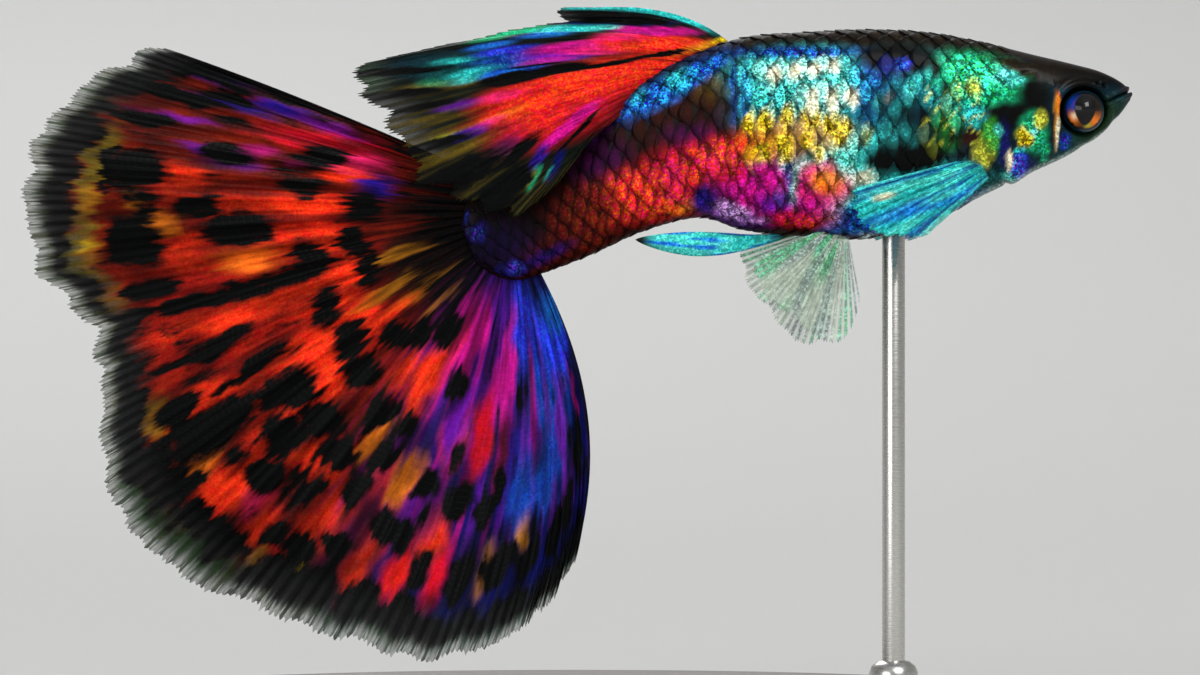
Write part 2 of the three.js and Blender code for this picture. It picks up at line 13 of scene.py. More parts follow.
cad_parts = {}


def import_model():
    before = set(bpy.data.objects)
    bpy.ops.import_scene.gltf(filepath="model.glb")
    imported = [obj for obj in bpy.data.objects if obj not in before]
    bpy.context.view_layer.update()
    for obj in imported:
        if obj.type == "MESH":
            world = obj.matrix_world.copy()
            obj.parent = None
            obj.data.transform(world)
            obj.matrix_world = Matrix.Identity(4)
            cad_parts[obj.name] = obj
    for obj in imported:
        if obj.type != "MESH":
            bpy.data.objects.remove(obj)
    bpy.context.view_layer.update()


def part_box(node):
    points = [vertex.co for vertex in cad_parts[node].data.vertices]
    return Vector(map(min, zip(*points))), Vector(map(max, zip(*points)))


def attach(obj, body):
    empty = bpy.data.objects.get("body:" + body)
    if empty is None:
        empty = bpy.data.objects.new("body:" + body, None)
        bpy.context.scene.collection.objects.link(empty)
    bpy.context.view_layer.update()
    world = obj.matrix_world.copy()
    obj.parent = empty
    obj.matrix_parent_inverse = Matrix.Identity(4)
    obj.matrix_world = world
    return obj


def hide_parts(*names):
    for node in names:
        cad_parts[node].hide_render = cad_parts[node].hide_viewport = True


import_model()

LOG = logging.getLogger("guppy")
MM = 0.001
TAU = 2 * math.pi
MARKING_SEED = 1795593521
noise.seed_set(MARKING_SEED)


# Small helpers


def smooth(low: float, high: float, value: float) -> float:
    """Eases from 0 at low to 1 at high.

    Args:
        low: Value where the result is 0.
        high: Value where the result is 1.
        value: The value to ease.

    Returns:
        A number from 0 to 1.
    """
    share = min(1.0, max(0.0, (value - low) / (high - low)))
    return share * share * (3 - 2 * share)


def mix(a: float, b: float, share: float) -> float:
    """Returns the number a share of the way from a to b."""
    return a + (b - a) * share


def along(values: Sequence[float], share: float) -> float:
    """Reads a list of evenly spaced values at a share from 0 to 1.

    Args:
        values: The values, at least two.
        share: The place along the list.

    Returns:
        The value there, in straight steps between the listed ones.
    """
    at = min(1.0, max(0.0, share)) * (len(values) - 1)
    low = min(int(at), len(values) - 2)
    return mix(values[low], values[low + 1], at - low)


def scatter(number: float, salt: float = 4.1) -> float:
    """Returns a steady spread of numbers from -0.5 to 0.5, one for each whole number and salt."""
    return (math.sin(number * 12.9898 + salt) * 43758.5453) % 1.0 - 0.5


# Colours


class Tint(Enum):
    """Pigments of the fish: an sRGB colour, and how far its cells glitter, from 0 to 1."""

    TURQUOISE = ("2fd2cd", 1.0)
    AQUA = ("58efe0", 1.0)
    SEA_GREEN = ("1fd08a", 1.0)
    LEAF = ("3fbf3a", 0.8)
    DEEP_TEAL = ("0a4a4a", 0.6)
    PETROL = ("0c2f3c", 0.3)
    COBALT = ("0f3fa8", 0.8)
    AZURE = ("1d7cf0", 0.9)
    ELECTRIC = ("2b3dff", 1.0)
    NAVY = ("0b0f5a", 0.3)
    INDIGO = ("2a128c", 0.4)
    VIOLET = ("6a12a0", 0.4)
    PLUM = ("4a0a4c", 0.2)
    MAGENTA = ("d0108a", 0.5)
    PINK = ("ff2670", 0.4)
    LILAC = ("d79af0", 1.0)
    CRIMSON = ("d00c26", 0.5)
    SCARLET = ("ea180e", 0.45)
    FLAME = ("fa3412", 0.45)
    ORANGE = ("f8801a", 0.25)
    AMBER = ("c07a18", 0.2)
    GOLD = ("f2cf12", 1.0)
    STRAW = ("cfd23c", 0.8)
    CREAM = ("fff2c8", 0.5)
    OLIVE = ("665414", 0.3)
    MOSS = ("1c3a16", 0.1)
    UMBER = ("1a1206", 0.3)
    SEPIA = ("2b0f09", 0.1)
    RUST = ("7c1a08", 0.4)
    INK = ("020303", 0.0)
    SMOKE = ("0c130c", 0.05)
    SILVER = ("9fb8b0", 0.9)
    MIST = ("c4d4c0", 0.3)

    @property
    def linear(self) -> tuple[float, float, float]:
        """The colour as linear red, green and blue."""
        code = self.value[0]
        parts = (int(code[i : i + 2], 16) / 255 for i in (0, 2, 4))
        return tuple(c / 12.92 if c <= 0.04045 else ((c + 0.055) / 1.055) ** 2.4 for c in parts)

    @property
    def glitter(self) -> float:
        """How far the pigment's cells glitter."""
        return self.value[1]


@dataclass
class Coat:
    """The colour and glitter at one place, while markings are laid over it."""

    red: float
    green: float
    blue: float
    glitter: float

    @classmethod
    def of(cls, tint: Tint) -> "Coat":
        """Returns a plain coat of one tint."""
        return cls(*tint.linear, tint.glitter)

    def lay(self, tint: Tint, cover: float) -> None:
        """Lays a tint over the coat.

        Args:
            tint: The pigment.
            cover: How far it covers, from 0 to 1.
        """
        red, green, blue = tint.linear
        self.red = mix(self.red, red, cover)
        self.green = mix(self.green, green, cover)
        self.blue = mix(self.blue, blue, cover)
        self.glitter = mix(self.glitter, tint.glitter, cover)

    def shade(self, factor: float) -> "Coat":
        """Returns the coat made lighter or darker by a factor."""
        return Coat(self.red * factor, self.green * factor, self.blue * factor, self.glitter)

    @property
    def colour(self) -> tuple[float, float, float, float]:
        """The colour as four channels for a mesh attribute."""
        return (self.red, self.green, self.blue, 1.0)


@dataclass(frozen=True)
class Marking:
    """One oval patch of pigment. Sizes are in millimetres, and the tilt is in degrees.

    On the body and the dorsal fin, a is x and b is z in the fish's own frame. On the tail fin, a is the share
    across it and b the share along it, and the long half then runs along the rays.
    """

    tint: Tint
    a: float
    b: float
    long: float
    wide: float
    tilt: float = 0.0
    soft: float = 0.45
    cover: float = 1.0

    def at(self, da: float, db: float) -> float:
        """Returns how far the patch covers a point.

        Args:
            da: Distance from the patch's centre along a, in millimetres.
            db: Distance from its centre along b, in millimetres.

        Returns:
            The cover, from 0 to 1.
        """
        reach = max(self.long, self.wide) * (1 + self.soft)
        if abs(da) > reach or abs(db) > reach:
            return 0.0
        turn = math.radians(self.tilt)
        p = (da * math.cos(turn) + db * math.sin(turn)) / self.long
        q = (-da * math.sin(turn) + db * math.cos(turn)) / self.wide
        return self.cover * (1 - smooth(1 - self.soft, 1 + self.soft, math.hypot(p, q)))


def patches(soft: float, *rows: tuple) -> tuple[Marking, ...]:
    """Returns markings from compact rows.

    Args:
        soft: The softness of the rows that state none.
        rows: Tint, a, b, half length and half width, and then softness, cover and tilt where they differ.
    """
    made = []
    for tint, a, b, long, wide, *rest in rows:
        own_soft, cover, tilt = (*rest, *(soft, 1.0, 0.0)[len(rest):])
        made.append(Marking(Tint[tint], a, b, long, wide, tilt, own_soft, cover))
    return tuple(made)


# The fish's own frame


@dataclass(frozen=True)
class FishFrame:
    """Places the fish's own millimetres, with x and z counted from the snout tip, in the shared frame."""

    eye_x: float = -2.42
    eye_z: float = -0.9

    @property
    def origin(self) -> Vector:
        """The snout tip in the shared frame, in metres, found from the right eye's solid."""
        low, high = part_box("eye_right")
        middle = (low + high) / 2
        return Vector((middle.x - self.eye_x * MM, 0, middle.z - self.eye_z * MM))


ORIGIN = FishFrame().origin


def world(point: Vector) -> Vector:
    """Returns a point of the fish's own frame in the shared frame, in metres."""
    return ORIGIN + point * MM


# Body form


@dataclass(frozen=True)
class Station:
    """A cross-section of the body from a point on the back to one on the belly."""

    back: tuple[float, float]
    belly: tuple[float, float]
    half: float
    lift: float = 0.0
    box: float = 0.95


class SmoothLine:
    """A curve through points, spaced by the square root of their distances as the solids' curves are."""

    def __init__(self, points: Sequence[Vector]) -> None:
        """Args:
            points: The points that the curve runs through.
        """
        self.spans = []
        ends = [points[0] * 2 - points[1], *points, points[-1] * 2 - points[-2]]
        for p0, p1, p2, p3 in zip(ends, ends[1:], ends[2:], ends[3:]):
            d0, d1, d2 = (max((b - a).length, 1e-4) ** 0.5 for a, b in ((p0, p1), (p1, p2), (p2, p3)))
            t1 = ((p1 - p0) / d0 - (p2 - p0) / (d0 + d1) + (p2 - p1) / d1) * d1
            t2 = ((p2 - p1) / d1 - (p3 - p1) / (d1 + d2) + (p3 - p2) / d2) * d1
            self.spans.append((p1, t1, (p2 - p1) * 3 - t1 * 2 - t2, (p1 - p2) * 2 + t1 + t2))

    def at(self, place: float) -> Vector:
        """Returns the point at a place counted in points from the start."""
        index = min(max(int(place), 0), len(self.spans) - 1)
        t = place - index
        c0, c1, c2, c3 = self.spans[index]
        return c0 + (c1 + (c2 + c3 * t) * t) * t


@dataclass
class BodyForm:
    """The outer form of the body, as the solids have it, from snout to tail root."""

    stations: tuple[Station, ...] = (
        Station((-0.02, 0.12), (-0.05, -0.3), 0.3, 0, 0.9),
        Station((-0.5, 0.56), (-0.6, -1.05), 0.78, 0.1, 0.85),
        Station((-1.5, 1.06), (-1.6, -2.0), 1.22, 0.15, 0.8),
        Station((-2.9, 1.44), (-3.1, -2.98), 1.66, 0.12, 0.74),
        Station((-4.6, 1.84), (-4.9, -3.82), 2.05, 0.08, 0.74),
        Station((-6.6, 2.33), (-7.0, -4.82), 2.34, 0, 0.8),
        Station((-9.2, 2.84), (-9.8, -6.18), 2.48, -0.05, 0.84),
        Station((-12.2, 3.07), (-12.6, -6.9), 2.44, -0.05, 0.88),
        Station((-15.4, 2.96), (-15.6, -6.8), 2.24, 0, 0.9),
        Station((-18.8, 2.66), (-18.6, -6.5), 1.95, 0, 0.92),
        Station((-21.4, 1.74), (-20.6, -5.9), 1.7),
        Station((-24.4, 0.2), (-23.4, -6.55), 1.45),
        Station((-27.6, -1.75), (-26.0, -7.7), 1.2),
    )
    paddle_x: float = -29.57
    paddle_z: float = -6.29
    paddle_radius: float = 2.6
    paddle_top: float = 108
    paddle_bottom: float = 298
    paddle_half: float = 0.9
    paddle_edge: float = 0.42
    sway_from: float = -14
    sway_to: float = -32
    sway_away: float = 1.4
    rings: dict[float, tuple] = field(default_factory=dict)

    def __post_init__(self) -> None:
        """Adds the paddle's own stations and joins all of them with curves."""
        steps = 4
        every = list(self.stations)
        middle = (self.paddle_top + self.paddle_bottom) / 2
        for i in range(steps):
            back = self.rim(mix(self.paddle_top, middle, i / steps))
            belly = self.rim(mix(self.paddle_bottom, middle, i / steps))
            half = mix(self.paddle_half, self.paddle_edge, i / steps)
            every.append(Station((back.x, back.z), (belly.x, belly.z), half))
        self.last = len(every) - 1
        self.boxes = [s.box for s in every]
        self.back = SmoothLine([Vector((s.back[0], 0, s.back[1])) for s in every])
        self.belly = SmoothLine([Vector((s.belly[0], 0, s.belly[1])) for s in every])
        self.shape = SmoothLine([Vector((s.half, s.lift, i)) for i, s in enumerate(every)])

    def rim(self, angle: float, radius: float | None = None) -> Vector:
        """Returns a point round the tail root.

        Args:
            angle: Degrees from the way the fish faces, counter-clockwise from the near side.
            radius: Distance from the centre, or None for the rim itself.

        Returns:
            The point, with y at 0.
        """
        r = self.paddle_radius if radius is None else radius
        a = math.radians(angle)
        return Vector((self.paddle_x + r * math.cos(a), 0, self.paddle_z + r * math.sin(a)))

    def sway(self, x: float) -> float:
        """Returns the spine's sideways offset at x."""
        return self.sway_away * (1 - smooth(self.sway_to, self.sway_from, x))

    def ring(self, place: float) -> tuple:
        """Returns a section's centre, upward half, half width, lift and box at a place along the stations."""
        if place not in self.rings:
            back, belly, shape = (line.at(place) for line in (self.back, self.belly, self.shape))
            low = min(int(place), self.last - 1)
            box = mix(self.boxes[low], self.boxes[low + 1], min(1.0, place - low))
            self.rings[place] = ((back + belly) / 2, (back - belly) / 2, shape.x, shape.y, box)
        return self.rings[place]

    def point(self, place: float, turn: float, grow: float = 0.0, reach: float = 1.0) -> Vector:
        """Returns a point of the body's surface.

        Args:
            place: Place along the stations.
            turn: Angle round the body in radians: 0 on the back, then down the near side.
            grow: Distance out from the surface, in millimetres.
            reach: 1 on the surface, 0 at the section's centre.

        Returns:
            The point in the fish's own frame.
        """
        centre, up, half, lift, box = self.ring(place)
        tall = up.length
        c, s = math.cos(turn), math.sin(turn)
        side = math.copysign(abs(s) ** box, s) if abs(s) > 1e-9 else 0.0
        level = c + lift * (1 - c * c)
        point = centre + up * ((tall + grow) / tall * level * reach)
        point.y = self.sway(point.x) - (half + grow) * side * reach
        return point

    def normal(self, place: float, turn: float) -> Vector:
        """Returns the outward direction of the surface at a place and turn."""
        step = 0.02
        forward = self.point(min(place + step, self.last), turn) - self.point(max(place - step, 0.0), turn)
        around = self.point(place, turn + step) - self.point(place, turn - step)
        return forward.cross(around).normalized()


BODY = BodyForm()


# Markings of the body, in millimetres from the snout tip. Later ones lie over earlier ones.

BODY_MARKINGS = patches(
    0.5,
    # Ground of head and flank
    ("PETROL", -5.69, -1.36, 4.91, 2.83, 0.45), ("TURQUOISE", -15.89, 0.15, 3.21, 1.89, 0.45),
    ("TURQUOISE", -11.17, -0.41, 3.59, 2.08, 0.5, 0.55),
    ("SEA_GREEN", -7.2, 0.44, 2.3, 1.35, 0.4, 1.0, -14), ("AQUA", -15.7, 0.72, 2.83, 1.13, 0.6, 0.8),
    ("TURQUOISE", -14.38, -3.25, 2.27, 1.7, 0.5, 0.9), ("AQUA", -14.38, -3.81, 1.7, 0.94, 0.6, 0.7),
    ("COBALT", -16.08, 1.89, 3.02, 0.26, 0.6), ("COBALT", -12.49, 0.91, 0.94, 0.85, 0.6, 0.8),
    ("COBALT", -11.36, 1.19, 1.13, 0.3, 0.6, 0.8), ("AZURE", -12.68, -0.41, 0.76, 1.13, 0.7, 0.5),
    ("PETROL", -10.79, -1.36, 2.08, 0.49, 0.8, 0.8),
    # Dark band behind the flank, and the middle of the stem
    ("COBALT", -19.1, -0.04, 0.23, 1.51), ("PETROL", -19.51, -0.22, 0.19, 1.13, 0.6),
    ("AZURE", -18.53, -0.22, 0.23, 1.32, 0.6, 0.7), ("OLIVE", -20.14, -0.04, 0.64, 0.83, 0.5, 1.0, 10),
    ("SEPIA", -21.74, -1.36, 2.83, 1.13, 0.5, 1.0, 22), ("INDIGO", -24.76, -0.7, 0.76, 0.45, 0.7, 0.7, 35),
    ("VIOLET", -26.28, -1.83, 1.13, 0.57, 0.7, 0.6, 30),
    # Blue under the dorsal fin
    ("AZURE", -21.74, 0.72, 3.02, 0.79, 0.3, 1.0, 32), ("COBALT", -22.88, 0.25, 2.83, 0.3, 0.6, 0.7, 30),
    ("TURQUOISE", -21.74, 0.72, 0.64, 0.53, 0.7, 0.8, 32),
    ("TURQUOISE", -23.73, -0.04, 0.45, 0.42, 0.7, 0.7, 32),
    ("AZURE", -19.76, 2.08, 0.64, 0.38, 0.5, 1.0, 32), ("INDIGO", -24.58, -0.41, 1.13, 0.38, 0.7, 0.7, 34),
    # Red of the hind flank and the stem
    ("CRIMSON", -20.23, -4.0, 3.97, 1.7, 0.35, 1.0, 10),
    ("SCARLET", -22.69, -4.76, 3.21, 1.17, 0.45, 1.0, 10), ("SCARLET", -19.1, -2.96, 1.89, 0.76, 0.5, 0.9),
    ("FLAME", -19.57, -2.68, 1.04, 0.45, 0.6, 0.9), ("PINK", -21.93, -3.91, 0.38, 1.13, 0.7, 0.6),
    ("PINK", -20.14, -4.19, 0.3, 1.13, 0.7, 0.7), ("CRIMSON", -18.53, -3.53, 1.13, 0.76),
    ("ORANGE", -20.61, -5.32, 1.89, 0.3, 0.7, 0.7, 10), ("FLAME", -24.76, -4.76, 1.32, 0.94, 0.6, 0.9, 15),
    ("RUST", -26.28, -5.51, 1.7, 1.13, 0.5, 1.0, 25), ("PLUM", -25.52, -3.25, 1.32, 0.76, 0.7, 0.7, 20),
    ("PLUM", -21.18, -2.02, 1.13, 0.45, 0.7, 0.7),
    # Magenta and violet of the hind belly
    ("MAGENTA", -17.59, -4.0, 0.94, 1.13), ("MAGENTA", -18.34, -4.95, 2.08, 0.76, 0.4),
    ("VIOLET", -16.83, -5.32, 1.13, 0.57), ("VIOLET", -18.91, -5.98, 1.51, 0.34, 0.6, 1.0, -10),
    ("PLUM", -19.85, -4.95, 0.76, 0.76, 0.6, 0.8), ("CRIMSON", -15.13, -5.98, 2.27, 0.45),
    ("NAVY", -20.46, -4.98, 0.64, 0.68, 0.4), ("INDIGO", -20.38, -5.32, 0.49, 0.38, 0.6),
    ("LILAC", -19.1, -5.66, 0.83, 0.38, 0.5, 1.0, -20), ("LILAC", -17.97, -6.12, 0.57, 0.17, 0.6, 0.6),
    ("COBALT", -16.55, -3.81, 0.23, 1.13, 0.5, 1.0, 6), ("AQUA", -16.23, -4.38, 0.17, 0.94, 0.6, 0.9),
    ("COBALT", -15.96, -4.76, 0.15, 0.76, 0.6), ("AQUA", -16.83, -3.06, 0.23, 0.57, 0.6, 0.7),
    # Round pink patch
    ("PINK", -14.79, -4.5, 1.34, 1.2, 0.22), ("MAGENTA", -14.79, -4.5, 1.25, 1.1, 0.3, 0.55),
    ("MAGENTA", -15.13, -5.51, 1.13, 0.38, 0.5, 0.8), ("ORANGE", -14.65, -4.28, 0.8, 0.62, 0.3),
    ("FLAME", -14.38, -4.76, 0.64, 0.34, 0.7, 0.5), ("CREAM", -12.85, -4.2, 0.55, 0.36, 0.5, 1.0, -20),
    ("AQUA", -13.81, -3.06, 0.49, 0.94, 0.6, 0.8),
    # Blue of the front belly
    ("TURQUOISE", -10.79, -4.95, 3.21, 1.13, 0.4, 1.0, 14),
    ("AZURE", -11.92, -6.17, 2.45, 0.45, 0.5, 1.0, 6), ("COBALT", -13.43, -5.89, 0.64, 0.49, 0.6),
    ("AZURE", -8.34, -5.04, 1.7, 0.49, 0.6, 1.0, 22), ("AQUA", -9.56, -5.55, 0.38, 0.34, 0.5, 1.0, 20),
    ("AQUA", -8.53, -5.04, 0.19, 0.26, 0.6), ("DEEP_TEAL", -7.01, -4.28, 1.7, 0.49, 0.5, 1.0, 24),
    # Black of back and flank
    ("INK", -11.4, 1.6, 1.85, 0.7, 0.3, 1.0, -2), ("INK", -10.41, 1.47, 0.76, 0.49),
    ("INK", -9.56, 1.19, 0.23, 0.57, 0.6), ("INK", -11.1, -3.22, 2.0, 0.74, 0.25, 1.0, 2),
    ("INK", -9.85, -2.87, 0.76, 0.49, 0.4, 1.0, 10),
    # Gold patches
    ("AMBER", -16.08, -2.11, 2.45, 0.94, 0.5, 0.8), ("GOLD", -18.44, -1.51, 0.28, 0.42, 0.3),
    ("GOLD", -17.68, -1.4, 0.34, 0.53, 0.3), ("GOLD", -16.61, -1.13, 0.34, 0.49, 0.3),
    ("GOLD", -15.47, -1.13, 0.42, 0.6, 0.3), ("GOLD", -14.49, -1.51, 0.38, 0.49, 0.3),
    ("GOLD", -13.77, -1.66, 0.26, 0.38, 0.4), ("STRAW", -12.87, -2.11, 0.23, 0.45, 0.6, 0.6),
    ("GOLD", -17.82, -2.96, 0.45, 0.45, 0.3), ("GOLD", -16.72, -2.68, 0.38, 0.76, 0.3),
    ("GOLD", -15.7, -2.3, 0.34, 0.45, 0.3), ("GOLD", -15.13, -2.96, 0.26, 0.38, 0.4),
    ("GOLD", -14.1, -2.11, 0.34, 0.49, 0.3), ("AMBER", -18.34, -3.06, 0.38, 0.38),
    # Cream and aqua patches in rows on the blue flank, painted highlights on its scales
    ("CREAM", -17.21, 0.8, 0.36, 0.46, 0.45), ("CREAM", -16.25, 0.95, 0.32, 0.42, 0.45),
    ("CREAM", -15.32, 1.06, 0.32, 0.38), ("CREAM", -14.38, 1.21, 0.28, 0.34),
    ("AQUA", -17.59, 0.25, 0.26, 0.34), ("CREAM", -15.42, -0.45, 0.3, 0.62, 0.45),
    ("CREAM", -14.47, -0.45, 0.3, 0.62, 0.45), ("CREAM", -13.53, -0.34, 0.32, 0.46, 0.45),
    ("AQUA", -12.3, -0.51, 0.23, 0.42, 0.5, 0.8), ("AQUA", -10.79, -0.04, 0.26, 0.42, 0.5, 0.8),
    ("CREAM", -11.81, -0.32, 0.15, 0.26, 0.6, 0.8),
    # Nape and shoulder
    ("INK", -6.2, -1.05, 1.7, 0.52, 0.5, 1.0, 6), ("INK", -4.8, -0.1, 0.85, 0.95),
    ("INK", -6.3, -1.6, 1.0, 0.5, 0.6, 0.8), ("INK", -8.15, -2.11, 1.32, 0.76, 0.6, 0.8),
    ("TURQUOISE", -7.77, -1.21, 0.49, 0.57), ("LEAF", -9.0, -1.74, 0.64, 0.87, 0.6, 0.7),
    ("STRAW", -7.77, 0.15, 0.34, 0.42), ("AQUA", -6.07, 0.72, 0.64, 0.45, 0.6, 1.0, -14),
    ("STRAW", -5.69, 1.13, 0.76, 0.15, 0.6, 0.7, -20),
    # Top and side of the head
    ("UMBER", -5.13, 1.1, 2.08, 0.38, 0.5, 1.0, -17), ("UMBER", -3.05, 0.81, 2.08, 0.57, 0.4, 1.0, -14),
    ("INK", -2.1, 0.44, 1.7, 0.64, 0.5, 0.8, -16), ("INK", -1.16, -0.22, 1.13, 0.94, 0.4, 1.0, -20),
    ("SEPIA", -0.22, 0.06, 0.45, 0.38), ("PETROL", -1.92, -1.17, 2.08, 1.13, 0.4, 1.0, 25),
    ("INK", -2.29, -0.98, 1.32, 1.25, 0.3, 0.8), ("MOSS", -1.8, -1.5, 1.7, 0.8, 0.6, 0.7, 32),
    ("DEEP_TEAL", -4.18, -3.15, 1.7, 0.49, 0.5, 1.0, 24), ("INK", -5.2, -2.0, 1.9, 1.7, 0.6, 0.75),
    # Gill cover and cheek
    ("STRAW", -7.3, -2.96, 0.42, 0.68, 0.5, 0.9, 10), ("LEAF", -6.92, -2.11, 0.42, 0.68, 0.6, 0.8, 10),
    ("AQUA", -8.11, -3.74, 0.19, 0.38, 0.5, 1.0, -20), ("SEPIA", -8.03, -2.23, 0.5, 0.4),
    ("SEPIA", -8.43, -4.23, 0.42, 0.38), ("NAVY", -6.3, -2.53, 0.26, 0.94, 0.6),
    ("AQUA", -6.58, -1.92, 0.17, 0.3), ("SEA_GREEN", -4.94, -1.92, 0.64, 0.83),
    ("GOLD", -5.35, -2.15, 0.34, 0.53, 0.35, 1.0, 10), ("STRAW", -4.56, -1.4, 0.3, 0.49, 0.4, 1.0, -10),
    ("AQUA", -4.84, -1.89, 0.17, 0.23), ("TURQUOISE", -5.5, -2.77, 0.3, 0.17),
    ("AMBER", -3.8, -1.3, 0.1, 1.2), ("ORANGE", -3.7, -0.55, 0.09, 0.5),
    ("CREAM", -3.73, -1.9, 0.09, 0.75, 0.4), ("COBALT", -3.33, -2.34, 0.26, 0.38),
    ("ELECTRIC", -5.54, -3.51, 0.49, 0.49, 0.4), ("NAVY", -5.03, -3.62, 0.34, 0.42, 0.6),
    ("CREAM", -6.05, -3.28, 0.17, 0.49, 0.4, 1.0, 6), ("AQUA", -5.98, -3.96, 0.34, 0.19),
    ("SEA_GREEN", -4.28, -2.87, 0.19, 0.45, 0.6, 0.8),
    # Dark breaks in the blue flank
    ("NAVY", -11.6, -0.1, 0.9, 0.45, 0.7, 0.6), ("NAVY", -10.2, -0.7, 0.45, 0.9, 0.7, 0.6),
    ("INK", -9.6, -2.1, 0.9, 0.6, 0.7, 0.7),
    # Tail root
    ("RUST", -26.8, -7.2, 2.4, 0.9, 0.6, 0.7, 27), ("INDIGO", -30.4, -7.2, 1.6, 1.0, 0.8, 0.25),
    ("ELECTRIC", -32.25, -5.75, 0.4, 0.5), ("ELECTRIC", -31.35, -6.65, 0.4, 0.38),
    ("ELECTRIC", -29.5, -8.3, 0.42, 0.34), ("INDIGO", -28.1, -7.75, 1.2, 0.25, 0.7, 1.0, 25),
    # Patches that lie over all the others
    ("NAVY", -11.55, 0.72, 0.9, 0.35, 0.6, 0.75), ("INK", -10.41, -1.17, 0.85, 0.55, 0.7, 0.8),
    ("NAVY", -12.87, -0.98, 0.4, 0.65, 0.6, 0.75), ("INK", -12.1, -0.5, 0.35, 0.55, 0.7, 0.75),
    ("INK", -9.09, 0.15, 0.3, 0.6, 0.7, 0.75), ("INK", -8.6, -2.1, 0.7, 0.35, 0.6, 0.8, 20),
    ("ELECTRIC", -11.17, 1.29, 0.4, 0.25, 0.5, 0.8),
)

PHOTO_SNOUT = (1131, 94)
PHOTO_PIXEL = 0.048


class MarkingChart:
    """Finds the markings that may reach a place, from strips across their first measure."""

    def __init__(
        self, markings: Sequence[Marking], strip: float, per_unit: Callable[[Marking], float]
    ) -> None:
        """Args:
            markings: The markings, in the order that they are laid.
            strip: The width of a strip.
            per_unit: Gives how many units of the first measure a marking's millimetre takes up.
        """
        self.strip = strip
        self.strips: dict[int, list[Marking]] = {}
        for marking in markings:
            reach = (max(marking.long, marking.wide) * (1 + marking.soft) + 0.5) * per_unit(marking)
            first, last = (math.floor((marking.a + side * reach) / strip) for side in (-1, 1))
            for index in range(first, last + 1):
                self.strips.setdefault(index, []).append(marking)

    def near(self, a: float) -> list[Marking]:
        """Returns the markings that may reach a place along the first measure."""
        return self.strips.get(math.floor(a / self.strip), [])


# Where the stem and the tail root start and end darkening, and the patch with straw specks on the shoulder

STEM_DARKENS = (-23.5, -27.5)
ROOT_DARKENS = (-29.0, -31.5)
SPECKS_X = (-10.2, -7.3)
SPECKS_Z = (-2.6, 0.3)


class BodyPaint:
    """Colours a point of the body from its place, height round the body and the markings."""

    def __init__(self) -> None:
        """Collects every marking in the order that it is laid."""
        self.chart = MarkingChart(BODY_MARKINGS, 1.0, lambda marking: 1.0)

    def at(self, point: Vector, turn: float, ragged: float = 0.16) -> Coat:
        """Returns the coat at a point of the body.

        Args:
            point: The point in the fish's own frame.
            turn: Its angle round the body, in radians from the back.
            ragged: How far the markings' edges wander, in millimetres.

        Returns:
            The colour and glitter there.
        """
        ragged *= mix(0.2, 1.0, smooth(-3.4, -4.6, point.x))
        wander = noise.noise_vector(point * 1.7) * ragged + noise.noise_vector(point * 5.0) * ragged * 0.5
        x, z = point.x + wander.x, point.z + wander.z
        coat = Coat.of(Tint.SEPIA).shade(0.6)
        for marking in self.chart.near(x):
            cover = marking.at(x - marking.a, z - marking.b)
            if cover > 0:
                coat.lay(marking.tint, cover)
        speckled = SPECKS_X[0] < x < SPECKS_X[1] and SPECKS_Z[0] < z < SPECKS_Z[1]
        if speckled and noise.cell(point * 9) > 0.74:
            coat.lay(Tint.STRAW, 0.6)
        stem = mix(1.0, 0.5, smooth(*STEM_DARKENS, point.x))
        root = mix(1.0, 0.6, smooth(*ROOT_DARKENS, point.x))
        coat = coat.shade(stem * root)
        height = math.cos(turn)
        back = smooth(0.8, 0.93, height + wander.y * 0.2)
        coat.lay(Tint.UMBER, back * 0.92)
        under = smooth(0.9, 0.99, -height)
        coat.lay(Tint.SILVER if point.x > -13 else Tint.SEPIA, under * 0.7)
        return coat


PAINT = BodyPaint()


# Mesh building


def grid(mesh: bmesh.types.BMesh, columns: int, rows: int) -> dict[bmesh.types.BMVert, tuple[float, float]]:
    """Adds a flat grid to a mesh.

    Args:
        mesh: The mesh that the grid joins.
        columns: Faces across.
        rows: Faces along.

    Returns:
        The place of each new corner, from 0 to 1 across and along.
    """
    made = bmesh.ops.create_grid(mesh, x_segments=columns, y_segments=rows, size=0.5)["verts"]
    return {vert: (vert.co.x + 0.5, vert.co.y + 0.5) for vert in made}


def finish_object(mesh: bmesh.types.BMesh, name: str, material: bpy.types.Material) -> bpy.types.Object:
    """Turns a bmesh in metres into an object of the scene that rides on the fish's body.

    Args:
        mesh: The mesh, which is freed.
        name: The piece's name.
        material: Its material.

    Returns:
        The new object.
    """
    data = bpy.data.meshes.new(name)
    mesh.to_mesh(data)
    mesh.free()
    for face in data.polygons:
        face.use_smooth = True
    made = bpy.data.objects.new(name, data)
    bpy.context.scene.collection.objects.link(made)
    data.materials.append(material)
    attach(made, "root")
    LOG.info("%s: %d faces", name, len(data.polygons))
    return made


# Shader nodes


